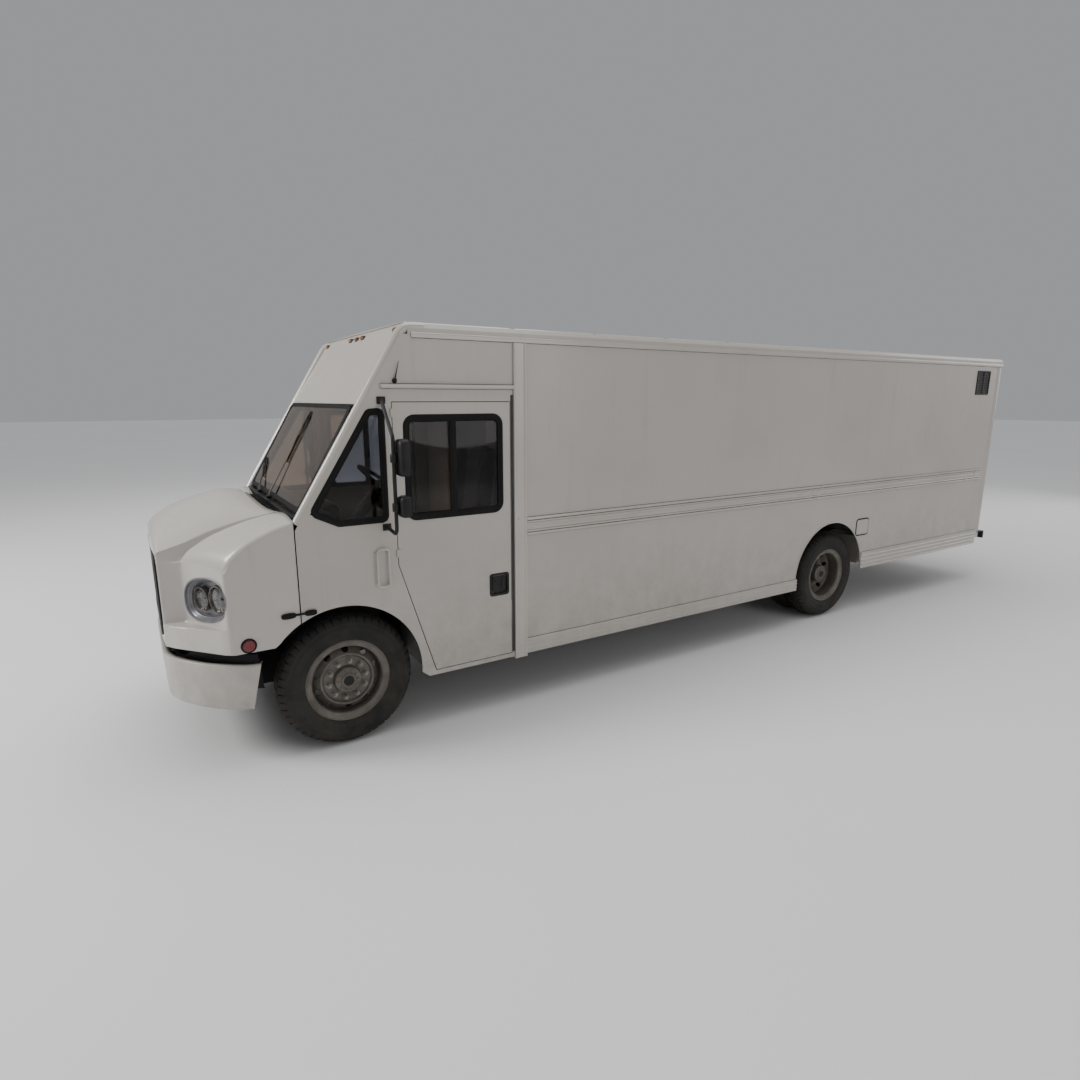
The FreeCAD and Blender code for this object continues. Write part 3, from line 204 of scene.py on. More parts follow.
NODE_FINISH = {
    "frame_steel": frame_steel, "cast_iron": cast_iron, "wheel_steel": wheel_steel,
    "tyre": tyre_rubber, "black_plastic": black_plastic, "black_rubber": black_rubber,
    "dark_metal": dark_metal, "tinted_glass": glass, "lamp_lens": lens, "seat_fabric": cloth,
    "floor_sheet": floor_sheet, "body_paint": paint, "body_sheet": paint,
    "hood_paint": hood_paint,
}
for entry in frame["record"]["subparts"]:
    node = frame["nodes"][entry["node"]]
    node.data.materials.clear()
    node.data.materials.append(NODE_FINISH[entry["material_slot"]])
frame["nodes"]["cowl_panel"].data.materials[0] = black_plastic


# ------------------------------------------------------------------ mesh helpers
def transported(path, closed, up):
    """A frame (side, lift) at each point of a path, turned as little as possible."""
    points = [Vector(p) for p in path]
    count = len(points)
    frames = []
    side = None
    for i in range(count):
        if closed:
            along = points[(i + 1) % count] - points[i - 1]
        else:
            along = points[min(i + 1, count - 1)] - points[max(i - 1, 0)]
        along.normalize()
        if side is None or up is not None:
            reference = Vector(up) if up is not None else Vector((0, 0, 1))
            if up is None and abs(along.z) > 0.9:
                reference = Vector((0, 1, 0))
            side = along.cross(reference)
        else:
            side = side - along * side.dot(along)
        side.normalize()
        frames.append((points[i], side.copy(), side.cross(along).normalized()))
    return frames


def rounded_path(points, steps=6, closed=False):
    """A smooth curve through the points."""
    points = [Vector(p) for p in points]
    count = len(points)
    curve = []
    for i in range(count if closed else count - 1):
        if closed:
            a, b, c, d = (points[(i + k) % count] for k in (-1, 0, 1, 2))
        else:
            b, c = points[i], points[i + 1]
            a = points[i - 1] if i else b * 2 - c
            d = points[i + 2] if i + 2 < count else c * 2 - b
        for k in range(steps):
            t = k / steps
            curve.append(0.5 * (2 * b + (c - a) * t + (2 * a - 5 * b + 4 * c - d) * t * t
                                + (3 * b - a - 3 * c + d) * t ** 3))
    if not closed:
        curve.append(points[-1])
    return curve


def corner_arc(previous, corner, following, radius, share, steps):
    """The arc that rounds a corner, using at most a share of each side's length."""
    before = previous - corner
    after = following - corner
    half = before.angle(after) / 2
    reach = min(radius / math.tan(half), before.length * share, after.length * share)
    r = reach * math.tan(half)
    middle = (before.normalized() + after.normalized()).normalized()
    centre = corner + middle * (r / math.sin(half))
    a = corner + before.normalized() * reach - centre
    b = corner + after.normalized() * reach - centre
    return [centre + a.slerp(b, k / steps).normalized() * r for k in range(steps + 1)]


def filleted(corners, radius, steps=6):
    """A closed flat outline with each corner replaced by an arc."""
    corners = [Vector(p) for p in corners]
    out = []
    for i, corner in enumerate(corners):
        following = corners[(i + 1) % len(corners)]
        out += corner_arc(corners[i - 1], corner, following, radius, 0.49, steps)
    return out


def filleted_path(points, radius, steps=6):
    """An open polyline with rounded bends."""
    points = [Vector(p) for p in points]
    out = [points[0]]
    for i in range(1, len(points) - 1):
        out += corner_arc(points[i - 1], points[i], points[i + 1], radius, 0.45, steps)
    return out + [points[-1]]


def squared(value, power):
    """A sine or cosine pushed outwards, which turns a circle into a rounded box."""
    return math.copysign(abs(value) ** power, value)


class Build:
    """Collects the mesh of one piece."""

    def __init__(self):
        self.points = []
        self.faces = []

    def grid(self, rows, wrap_rows=False, wrap_columns=False, skip=None):
        base = len(self.points)
        tall, wide = len(rows), len(rows[0])
        for row in rows:
            self.points.extend(Vector(p) for p in row)
        for i in range(tall if wrap_rows else tall - 1):
            for j in range(wide if wrap_columns else wide - 1):
                if skip and skip(i, j):
                    continue
                k, m = (i + 1) % tall, (j + 1) % wide
                self.faces.append((base + i * wide + j, base + i * wide + m,
                                   base + k * wide + m, base + k * wide + j))
        return base

    def loft(self, rows):
        """A closed solid through matching rings, with a lid at each end."""
        self.grid(rows, wrap_columns=True)
        self.lid(rows[0])
        self.lid(rows[-1])

    def lid(self, ring):
        base = len(self.points)
        self.points.extend(Vector(p) for p in ring)
        self.faces.append(tuple(range(base, base + len(ring))))

    def take(self, source, matrix=None):
        base = len(self.points)
        source.verts.index_update()
        for v in source.verts:
            self.points.append(matrix @ v.co if matrix else v.co.copy())
        for f in source.faces:
            self.faces.append(tuple(base + v.index for v in f.verts))
        source.free()

    def block(self, low, high, radius=0.003, segments=2, matrix=None):
        low, high = Vector(low), Vector(high)
        cube = bmesh.new()
        bmesh.ops.create_cube(cube, size=1.0)
        size = high - low
        for v in cube.verts:
            v.co = Vector((v.co.x * size.x, v.co.y * size.y, v.co.z * size.z)) + (low + high) / 2
        radius = min(radius, min(size) * 0.45)
        bmesh.ops.bevel(cube, geom=cube.edges[:], offset=radius, segments=segments,
                        profile=0.5, affect="EDGES")
        self.take(cube, matrix)

    def sweep(self, path, section, up=None, closed=False, scale=None):
        """A section (side, lift) carried along a path."""
        rows = []
        for i, (point, side, lift) in enumerate(transported(path, closed, up)):
            k = scale[i] if scale else 1.0
            rows.append([point + side * (a * k) + lift * (b * k) for a, b in section])
        self.grid(rows, wrap_rows=closed, wrap_columns=True)
        if not closed:
            self.lid(rows[0])
            self.lid(rows[-1])

    def tube(self, path, radius, sides=12, closed=False, up=None, scale=None):
        circle = [(radius * math.cos(2 * math.pi * k / sides),
                   radius * math.sin(2 * math.pi * k / sides)) for k in range(sides)]
        self.sweep(path, circle, up, closed, scale)

    def lathe(self, profile, centre, axis=(1, 0, 0), steps=48, close=False):
        """A profile (along, radius) turned about an axis through a centre."""
        axis = Vector(axis).normalized()
        one = axis.orthogonal().normalized()
        two = axis.cross(one)
        rows = []
        for k in range(steps):
            turn = 2 * math.pi * k / steps
            out = one * math.cos(turn) + two * math.sin(turn)
            rows.append([Vector(centre) + axis * a + out * r for a, r in profile])
        self.grid(rows, wrap_rows=True, wrap_columns=close)

    def band(self, centre, axis, half, inner, outer, steps=24):
        """A plain ring around an axis."""
        self.lathe([(-half, inner), (-half, outer), (half, outer), (half, inner)], centre, axis,
                   steps, close=True)

    def dome(self, centre, normal, radius, height, steps=10):
        """A low rounded head, such as a rivet or a button."""
        rings = 3
        profile = [(-0.001, radius * 1.02)]
        for k in range(rings + 1):
            t = math.pi / 2 * k / rings
            profile.append((height * math.sin(t), max(radius * math.cos(t), 1e-5)))
        self.lathe(profile, centre, normal, steps)

    def nut(self, centre, axis, across, height, turn=0.0, sides=6):
        """A chamfered hexagon."""
        axis = Vector(axis).normalized()
        one = axis.orthogonal().normalized()
        two = axis.cross(one)
        rows = []
        for along, size in ((0, 1), (height * 0.86, 1), (height, 0.86), (height, 0.5)):
            row = []
            for k in range(sides * 2):
                angle = turn + math.pi * k / sides
                reach = across * (1.0 if k % 2 == 0 else math.cos(math.pi / sides))
                if size < 1:
                    reach = across * size * 0.985
                row.append(Vector(centre) + axis * along
                           + (one * math.cos(angle) + two * math.sin(angle)) * reach)
            rows.append(row)
        self.grid(rows, wrap_columns=True)
        self.lid(rows[-1])

    def mirror(self):
        """Adds the same mesh on the other side of the centre plane."""
        base = len(self.points)
        self.points += [Vector((-p.x, p.y, p.z)) for p in self.points[:base]]
        self.faces += [tuple(base + k for k in reversed(f)) for f in self.faces[:]]
        return self

    def make(self, name, finish, body, slot=None, replaces=(), smooth=35.0, weld=0.00005,
             thick=0.0):
        """Turns the collected mesh into a piece that rides on a body."""
        mesh = bpy.data.meshes.new(name)
        work = bmesh.new()
        verts = [work.verts.new(p) for p in self.points]
        for face in self.faces:
            if len(set(face)) > 2:
                try:
                    work.faces.new([verts[k] for k in face])
                except ValueError:
                    continue        # the same face is there already
        bmesh.ops.remove_doubles(work, verts=work.verts[:], dist=weld)
        bmesh.ops.recalc_face_normals(work, faces=work.faces[:])
        work.to_mesh(mesh)
        work.free()
        for polygon in mesh.polygons:
            polygon.use_smooth = smooth > 0
        if 0 < smooth < 180:
            mesh.set_sharp_from_angle(angle=math.radians(smooth))
        mesh.materials.append(finish)
        thing = bpy.data.objects.new(name, mesh)
        bpy.context.scene.collection.objects.link(thing)
        if thick:
            shell = thing.modifiers.new("thickness", "SOLIDIFY")
            shell.thickness = thick
            shell.offset = -1.0
            shell.use_even_offset = False
        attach(thing, body)
        if replaces:
            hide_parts(*replaces)
        return thing


def carve(thing, cutter):
    """Cuts the cutter's mesh out of a piece for good."""
    tool = thing.modifiers.new("carve", "BOOLEAN")
    tool.operation = "DIFFERENCE"
    tool.solver = "EXACT"
    tool.object = cutter
    bpy.context.view_layer.update()
    graph = bpy.context.evaluated_depsgraph_get()
    mesh = bpy.data.meshes.new_from_object(thing.evaluated_get(graph))
    thing.modifiers.clear()
    thing.data = mesh
    bpy.data.objects.remove(cutter)


def between(table, key):
    """Straight interpolation in a table of (key, value)."""
    keys = [row[0] for row in table]
    return float(np.interp(key, keys, [row[1] for row in table]))


# ------------------------------------------------------------------ hood
HOOD_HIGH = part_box("hood_shell")[1]
HALF = HOOD_HIGH.x                    # side plane of the body
REAR = HOOD_HIGH.y - 0.004            # the hood's rear edge
CREST_X, FENDER_X = 0.56, 0.62
NOSE_Y, POD_Y, CORNER_Y = -5.270, -5.120, -4.900
FACE_SLOPE = (CORNER_Y - POD_Y) / (HALF - FENDER_X)
CENTRE_Z = ((-5.29, 1.672), (-5.227, 1.732), (-5.17, 1.772), (-5.107, 1.808), (-5.0, 1.848),
            (-4.929, 1.868), (-4.85, 1.889), (-4.76, 1.905), (-4.69, 1.904), (-4.62, 1.890),
            (-4.565, 1.864), (-4.5, 1.825), (-4.437, 1.79))
CREST_Z = ((-5.28, 1.556), (-5.08, 1.612), (-4.947, 1.668), (-4.79, 1.714), (-4.63, 1.752),
           (-4.437, 1.782))
FENDER_RISE = ((0, 0), (0.08, 0.20), (0.17, 0.34), (0.26, 0.465), (0.33, 0.545), (0.5, 0.70),
               (0.7, 0.845), (0.85, 0.92), (1.0, 0.98))
ARCH_Y, ARCH_Z, ARCH_R = -4.143, 0.527, 0.600        # the front wheel arch
VENT_STATIONS = 31        # cross sections of the vent behind the hood's bulge


def face_y(x):
    return POD_Y + (x - FENDER_X) * FACE_SLOPE


def hood_top(x, y):
    """Height of the hood's upper surface, before its edges are rounded."""
    crest = between(CREST_Z, y)
    if x <= CREST_X:
        crown = 1 - (x / CREST_X) ** 2.3
        return crest + (between(CENTRE_Z, y) - crest) * crown
    across = max(x, FENDER_X)
    t = (y - face_y(across)) / (REAR - face_y(across))
    fender = 1.512 + 0.278 * between(FENDER_RISE, max(0.0, t))
    if x < FENDER_X:
        floor_z = fender - 0.026
        t = (x - CREST_X) / (FENDER_X - CREST_X)
        return crest + (floor_z - crest) * between(((0, 0), (0.06, 0.25), (0.16, 0.72),
                                                    (0.3, 0.97), (0.45, 1.0), (1, 0.93)), t)
    return fender + 0.020 * math.sin(math.pi * (x - FENDER_X) / (HALF - FENDER_X))


def bulge_rear(x):
    """The bulge's rear edge bows forward of the cowl."""
    return REAR - 0.125 * max(0.0, 1 - (x / CREST_X) ** 2) ** 0.8


def hood_columns():
    """Plan lines of the hood: front point, rear point, edge radius, and lower lip point."""
    columns = []
    for x in (0, 0.07, 0.14, 0.21, 0.28, 0.35, 0.41, 0.46, 0.49, 0.52, 0.54, 0.552):
        front = NOSE_Y - 0.02 * (1 - (x / CREST_X) ** 2)
        edge = 0.045 - 0.022 * (x / CREST_X) ** 3
        columns.append(((x, front), (x, bulge_rear(x)), edge, (x, front)))
    steps = ((0, 0.018), (0.05, 0.014), (0.12, 0.014), (0.22, 0.016), (0.34, 0.018), (0.48, 0.02),
             (0.64, 0.024), (0.80, 0.03), (0.92, 0.038))
    for t, edge in steps:
        x = CREST_X + (FENDER_X - CREST_X) * t
        bow = 0.010 * math.sin(math.pi * t)
        y = NOSE_Y + (POD_Y - NOSE_Y) * t + bow
        lip = (CREST_X + 0.10 * t, NOSE_Y - 0.004 + 0.056 * t)
        columns.append(((x, y), (x, REAR), edge, lip))
    for k in range(13):
        x = FENDER_X + 0.004 + (HALF - 0.052 - FENDER_X) * k / 12
        lip_x = 0.662 + (HALF - 0.042 - 0.662) * k / 12
        lip_y = -5.218 + (lip_x - 0.662) * 0.690
        columns.append(((x, face_y(x)), (x, REAR), 0.036, (lip_x, lip_y)))
    turn_x = HALF - 0.034
    turn_y = face_y(turn_x) + 0.034
    for k in range(1, 9):
        angle = math.radians(-68 + 68 * k / 8)
        at = (turn_x + 0.034 * math.cos(angle), turn_y + 0.038 * math.sin(angle))
        out = (turn_x + 0.0342 * math.cos(angle), turn_y + 0.006 + 0.048 * math.sin(angle))
        rear_x = (HALF - 0.048) + 0.048 * math.sin(math.pi / 2 * k / 8)
        columns.append((at, (rear_x, REAR), 0.036, out))
    return columns


def make_hood():
    side_edge = 0.026
    hood = Build()
    columns = hood_columns()
    fine = (0, 0.0006, 0.0025, 0.006, 0.011, 0.018, 0.027, 0.036, 0.045, 0.06, 0.08)
    top = []
    for front, rear, edge, lip in columns:
        start, end = Vector(front), Vector(rear)
        length = (end - start).length
        reach = list(fine) + [0.08 + (length - 0.08) * k / 12 for k in range(1, 13)]
        column = []
        for d in reach:
            at = start.lerp(end, d / length)
            away = max(0.0, edge - d)
            beside = max(0.0, side_edge - (HALF - at.x))
            radius = max(edge, side_edge) if beside > 0 else edge
            if beside > 0:
                away = max(0.0, radius - d)
                beside = max(0.0, radius - (HALF - at.x))
            fall = radius - math.sqrt(max(0.0, radius ** 2 - away ** 2 - beside ** 2))
            column.append(Vector((at.x, at.y, hood_top(at.x, at.y) - fall)))
        top.append(column)
    hood.grid(top)

    walls = []
    for (front, rear, edge, lip), column in zip(columns, top):
        share = min(1.0, max(0.0, (front[0] - CREST_X) / (HALF - CREST_X)))
        high = column[0].z
        lip_top = 1.030 + 0.045 * share
        lip_low = 0.868 + 0.034 * share
        start, out = Vector(front), Vector(lip)
        step = (out - start).length
        if front[0] < CREST_X:
            levels = [high, 1.53, 1.49, 1.40, 1.30, 1.20, 1.10, 1.06, 1.05, 1.045, 1.04, 0.985,
                      0.93, 0.88, lip_low + 0.004, lip_low]
            walls.append([Vector((*front, z)) for z in levels[:-1]]
                         + [Vector((front[0], front[1] + 0.008, lip_low)),
                            Vector((front[0], front[1] + 0.035, lip_low))])
            continue
        column = [Vector((*front, high + (1.085 - high) * k / 7)) for k in range(8)]
        for t, z in ((0.03, lip_top + 0.026), (0.14, lip_top + 0.013), (0.34, lip_top + 0.008),
                     (0.90, lip_top + 0.004)):
            at = start.lerp(out, t)
            column.append(Vector((*at, z if step > 0.004 else lip_top + 0.03 * (1 - t))))
        for z in (lip_top - 0.006, 0.95, lip_low + 0.006):
            column.append(Vector((*out, z)))
        inward = Vector((-0.55, 0.8, 0)).normalized()
        column.append(column[-1] + inward * 0.007 - Vector((0, 0, 0.006)))
        column.append(column[-1] + inward * 0.03)
        walls.append(column)
    first_face = len([c for c in columns if c[0][0] < CREST_X])
    front_walls, face_walls = walls[:first_face], walls[first_face:]
    # the cells that are left out are the grille's opening
    hood.grid(front_walls, skip=lambda i, j: i < 8 and 2 <= j < 11)
    join_column = [Vector((CREST_X, NOSE_Y, p.z)) for p in front_walls[-1]]
    join_column[0] = top[first_face][0]
    join_column[-2] = Vector((CREST_X, NOSE_Y + 0.008, front_walls[-1][-2].z))
    join_column[-1] = Vector((CREST_X, NOSE_Y + 0.035, front_walls[-1][-1].z))
    hood.grid([front_walls[-1], join_column])
    hood.grid(face_walls)

    side = []
    for point in top[-1]:
        ground = 0.902
        gap = ARCH_R ** 2 - (point.y - ARCH_Y) ** 2
        if gap > 0:
            ground = max(ground, ARCH_Z + math.sqrt(gap))
        column = [Vector((HALF, point.y, point.z + (1.085 - point.z) * k / 7)) for k in range(8)]
        for z in (1.075, 1.06, 1.04, 1.0, 0.95, ground):
            column.append(Vector((HALF, point.y, max(z, ground))))
        column.append(Vector((HALF - 0.008, point.y, max(0.896, ground - 0.004))))
        column.append(Vector((HALF - 0.035, point.y, max(0.896, ground - 0.004))))
        side.append(column)
    hood.grid(side)
    hood.mirror()
    louvres = Build()
    rows = []
    for k in range(VENT_STATIONS):
        x = -0.55 + 1.10 * k / (VENT_STATIONS - 1)
        y = bulge_rear(abs(x))
        z = hood_top(abs(x), y)
        rows.append([Vector((x, y + 0.004, z - 0.002)), Vector((x, y + 0.012, z - 0.010)),
                     Vector((x, y + 0.014, z - 0.022)), Vector((x, REAR - 0.004, 1.768)),
                     Vector((x, REAR, 1.760)), Vector((x, REAR, 1.745)),
                     Vector((x, y + 0.002, z - 0.035))])
    louvres.loft(rows)
    for k in range(-7, 8):
        x = k * 0.058
        y = bulge_rear(abs(x)) + 0.030
        if REAR - y > 0.045:
            z = hood_top(abs(x), bulge_rear(abs(x))) - 0.028
            louvres.tube([(x, y, z + 0.004), (x, REAR - 0.012, 1.778)], 0.005, 8)
    louvres.make("hood_rear_vent", dark_metal, "hood", "black_plastic")
    return hood.make("hood_skin", hood_paint, "hood", "hood_paint", ["hood_shell"],
                     smooth=38, weld=0.0008, thick=0.006)


POD_CENTRE_S, POD_Z = 0.258, 1.246
POD_HALF = (0.262, 0.166)
FACE_ALONG = Vector((HALF - FENDER_X, CORNER_Y - POD_Y, 0)).normalized()
FACE_OUT = Vector((FACE_ALONG.y, -FACE_ALONG.x, 0))


def on_face(s, z, out=0.0, side=1):
    """A point by its distance along the headlamp face, its height, and how proud it is."""
    p = Vector((FENDER_X, POD_Y, 0)) + FACE_ALONG * s + FACE_OUT * out
    return Vector((p.x * side, p.y, z))


def oval(half_wide, half_tall, centre_s=POD_CENTRE_S, z=POD_Z, out=0.0, side=1, steps=56):
    """A rounded oval on the headlamp face, flatter underneath."""
    ring = []
    for k in range(steps):
        angle = 2 * math.pi * k / steps
        c, s = math.cos(angle), math.sin(angle)
        a, b = squared(c, 0.80), squared(s, 0.80)
        tall = half_tall * (1.0 if s > 0 else 0.94)
        tilt = 0.035 * a
        ring.append(on_face(centre_s + half_wide * a, z + tall * b + tilt, out, side))
    return ring


def make_lamps(shell):
    for side in (1, -1):
        cutter = Build()
        rows = [oval(*POD_HALF, out=d, side=side) for d in (-0.14, 0.10)]
        cutter.loft(rows)
        tool = cutter.make("pod_cutter", hood_paint, "hood", smooth=0)
        carve(shell, tool)
    chrome = surface("reflector", (0.17, 0.15, 0.135), (0.10, 0.09, 0.08), 0.26, metal=0.8,
                     patch=20.0, grain=500.0, relief=0.0002)
    shade = surface("lamp_shade", (0.20, 0.20, 0.215), (0.14, 0.14, 0.15), 0.36, metal=0.35,
                    patch=9.0, grain=600.0, relief=0.0002, worn=0.3)
    for label, side in SIDES:
        surround = Build()
        steps = ((1.00, 1.00, -0.008), (1.005, 1.008, 0.004), (0.985, 0.975, 0.007),
                 (0.955, 0.935, 0.004), (0.94, 0.905, -0.010), (0.90, 0.86, -0.016),
                 (0.885, 0.84, -0.024), (0.85, 0.80, -0.030), (0.84, 0.785, -0.042),
                 (0.80, 0.75, -0.052), (0.78, 0.73, -0.060), (0.55, 0.55, -0.066),
                 (0.05, 0.05, -0.066))
        surround.grid([oval(POD_HALF[0] * a, POD_HALF[1] * b, out=d, side=side)
                       for a, b, d in steps], wrap_columns=True)
        surround.make("lamp_pod_" + label, shade, "hood", "lamp_lens",
                      ["hood_lamps"] if side > 0 else (), smooth=32)
        bowls, glasses, bulbs = Build(), Build(), Build()
        for s, z, radius in ((0.160, 1.236, 0.080), (0.366, 1.262, 0.094)):
            middle = on_face(s, z, -0.060, side)
            out = Vector((FACE_OUT.x * side, FACE_OUT.y, 0))
            bowls.lathe([(0.010, radius * 1.10), (0.030, radius * 1.10), (0.036, radius * 1.06),
                         (0.036, radius * 1.0), (0.022, radius * 0.96), (0.000, radius * 0.82),
                         (-0.022, radius * 0.58), (-0.034, radius * 0.30), (-0.036, 0.008)],
                        middle, out, 40)
            glasses.lathe([(0.031, 0.0005), (0.030, radius * 0.4), (0.026, radius * 0.75),
                           (0.020, radius * 0.955), (0.024, radius * 0.955), (0.031, radius * 0.75),
                           (0.0355, radius * 0.4), (0.037, 0.0005)], middle, out, 40)
            bulbs.lathe([(-0.036, 0.011), (-0.004, 0.011), (0.006, 0.009), (0.010, 0.0005)],
                        middle, out, 16)
        bowls.make("lamp_bowls_" + label, chrome, "hood", "lamp_lens", smooth=50)
        glasses.make("lamp_glasses_" + label, lens, "hood", "lamp_lens", smooth=60)
        bulbs.make("lamp_bulbs_" + label, black_plastic, "hood", "lamp_lens")


def make_grille():
    front = NOSE_Y - 0.022
    surround = Build()
    outline = filleted([(-0.505, front, 0.952), (0.505, front, 0.952),
                        (0.512, front, 1.506), (-0.512, front, 1.506)], 0.06, 8)
    path = [Vector((p.x, front + 0.014 * (p.x / 0.5) ** 2, p.z)) for p in outline]
    surround.sweep(path, [(-0.024, 0.012), (-0.024, -0.004), (-0.018, -0.009), (0.010, -0.010),
                          (0.020, -0.006), (0.024, 0.030), (-0.010, 0.034)], (0, 1, 0), True)
    surround.make("grille_surround", black_plastic, "hood", "black_plastic", ["grille"])
    slats = Build()
    for k in range(9):
        z = 1.000 + k * 0.057
        path = [Vector((x, front + 0.012 + 0.012 * (x / 0.5) ** 2, z))
                for x in np.linspace(-0.487, 0.487, 25)]
        slats.sweep(path, [(-0.012, -0.009), (-0.008, 0.010), (0.004, 0.020), (0.008, 0.018),
                           (0.002, -0.004), (-0.004, -0.011)], (0, 1, 0))
    for x in (-0.33, -0.165, 0.0, 0.165, 0.33):
        y = front + 0.034 + 0.010 * (x / 0.5) ** 2
        slats.block((x - 0.008, y, 0.962), (x + 0.008, y + 0.012, 1.496), 0.002)
    slats.make("grille_slats", black_plastic, "hood", "black_plastic")
    mesh = Build()
    for k in range(41):
        x = -0.49 + k * 0.0245
        mesh.block((x - 0.0016, front + 0.054, 0.958), (x + 0.0016, front + 0.057, 1.500), 0.0006, 1)
    for k in range(23):
        z = 0.965 + k * 0.0242
        mesh.block((-0.497, front + 0.057, z - 0.0016), (0.497, front + 0.060, z + 0.0016), 0.0006, 1)
    for x_low, x_high in ((-0.500, -0.340), (0.340, 0.500)):
        mesh.block((x_low, front + 0.062, 0.955), (x_high, front + 0.066, 1.503), 0.001, 1)
    mesh.make("grille_screen", dark_metal, "hood", "black_plastic")


hood_skin = make_hood()
make_lamps(hood_skin)
make_grille()


def make_side_markers():
    red = surface("red_lens", (0.16, 0.004, 0.007), (0.10, 0.003, 0.005), 0.22, patch=30.0,
                  grain=300.0, relief=0.0008, coat=0.3)
    for label, side in SIDES:
        out = (side, 0, 0)
        place = (side * HALF, -4.792, 0.954)
        bezel = Build()
        bezel.lathe([(0.0005, 0.052), (0.006, 0.052), (0.010, 0.049), (0.011, 0.044),
                     (0.008, 0.042), (0.0005, 0.0415)], place, out, 40, close=True)
        bezel.make("marker_bezel_" + label, black_rubber, "hood", "lamp_lens")
        cover = Build()
        profile = [(0.001, 0.0412), (0.010, 0.0410)]
        profile += [(0.0125 + 0.0012 * (k % 2), 0.0385 - 0.0048 * k) for k in range(8)]
        cover.lathe(profile + [(0.0135, 0.0004)], place, out, 40)
        cover.make("marker_lens_" + label, red, "hood", "lamp_lens")
    return red


red_lens = make_side_markers()


# ------------------------------------------------------------------ wheels and tyres
TYRE_LOW, TYRE_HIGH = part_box("front_tyre_left")
TYRE_R = (TYRE_HIGH.z - TYRE_LOW.z) / 2
TYRE_HALF = (TYRE_HIGH.x - TYRE_LOW.x) / 2
FACE_X = TYRE_HIGH.x
SIDEWALL = ((0.090, 0.288), (0.094, 0.300), (0.100, 0.3115), (0.1115, 0.320), (0.1170, 0.326),
            (0.1160, 0.3295),
            (0.1190, 0.336), (0.1250, 0.350), (0.1300, 0.366), (0.1318, 0.368), (0.1322, 0.372),
            (0.1316, 0.375), (0.1335, 0.388), (0.1345, 0.404), (0.1338, 0.418), (0.1349, 0.420),
            (0.1349, 0.425), (0.1330, 0.428), (0.1300, 0.441), (0.1250, 0.454), (0.1256, 0.4565),
            (0.1230, 0.461), (0.1165, 0.473), (0.1080, 0.485), (0.0980, 0.495),
            (0.0860, 0.5025))
TREAD = ((0.0710, 0.0), (0.0690, -0.0135), (0.0600, -0.0135), (0.0580, 0.0), (0.0280, 0.0),
         (0.0260, -0.0135), (0.0165, -0.0135), (0.0145, 0.0), (0.0, 0.0))
PITCHES = 50        # tread blocks around the tyre
STUDS = 10
NOTCH = (0.02, 0.13)        # the share of a pitch that a shoulder notch takes
CUT = (0.512, 0.565)        # the share of a pitch that a cut across the middle ribs takes
STUD_CIRCLE = 0.143
HAND_HOLE_CIRCLE = 0.230


def tyre_rings():
    """Half of the casing's section, from the bead up to the tread's middle."""
    crown = [(a, TYRE_R - 0.0100 * (a / 0.0830) ** 2 + depth) for a, depth in TREAD]
    half = list(SIDEWALL) + crown
    return half + [(-a, r) for a, r in reversed(half[:-1])]


def add_tyre(build, middle_x, axle):
    """A casing with shoulder notches and cuts, repeated at each pitch."""
    section = tyre_rings()
    rows = []
    for pitch in range(PITCHES):
        for share in (0.0, *NOTCH, 0.15, 0.50, *CUT, 0.577):
            turn = 2 * math.pi * (pitch + share) / PITCHES
            row = []
            for a, r in section:
                reach = abs(a)
                if NOTCH[0] <= share <= NOTCH[1] and r > 0.470 and reach > 0.0705:
                    r -= 0.0105 if r > 0.490 else 0.004
                    a *= 0.985
                if CUT[0] <= share <= CUT[1] and r > 0.500 and reach < 0.0585:
                    r -= 0.0055
                row.append(Vector((middle_x + a, axle.y + r * math.cos(turn),
                                   axle.z + r * math.sin(turn))))
            rows.append(row)
    build.grid(rows, wrap_rows=True, wrap_columns=True)


def make_disc(name, node, side, axle, sheets):
    """Pressed discs: each is a face position and its rings of (depth, radius)."""
    build, holes = Build(), Build()
    for face_x, stations, with_holes in sheets:
        profile = [(-side * d, r) for d, r in stations]
        profile += [(-side * (d + 0.011), r) for d, r in reversed(stations)]
        build.lathe(profile, (side * face_x, axle.y, axle.z), (1, 0, 0), 80, close=True)
        if not with_holes:
            continue
        for k in range(STUDS):
            turn = 2 * math.pi * (k + 0.5) / STUDS
            centre = Vector((0, math.cos(turn), math.sin(turn)))
            along = Vector((0, -math.sin(turn), math.cos(turn)))
            rows = []
            for x in (face_x - stations[0][0] - 0.06, face_x - 0.02):
                rows.append([Vector((side * x, axle.y, axle.z))
                             + centre * (HAND_HOLE_CIRCLE + 0.018 * math.cos(a))
                             + along * (0.027 * math.sin(a))
                             for a in np.linspace(0, 2 * math.pi, 24, endpoint=False)])
            holes.loft(rows)
    disc = build.make(name, wheel_steel, node, "wheel_steel", smooth=40)
    carve(disc, holes.make(name + "_holes", wheel_steel, node, smooth=0))
    disc.data.set_sharp_from_angle(angle=math.radians(40))


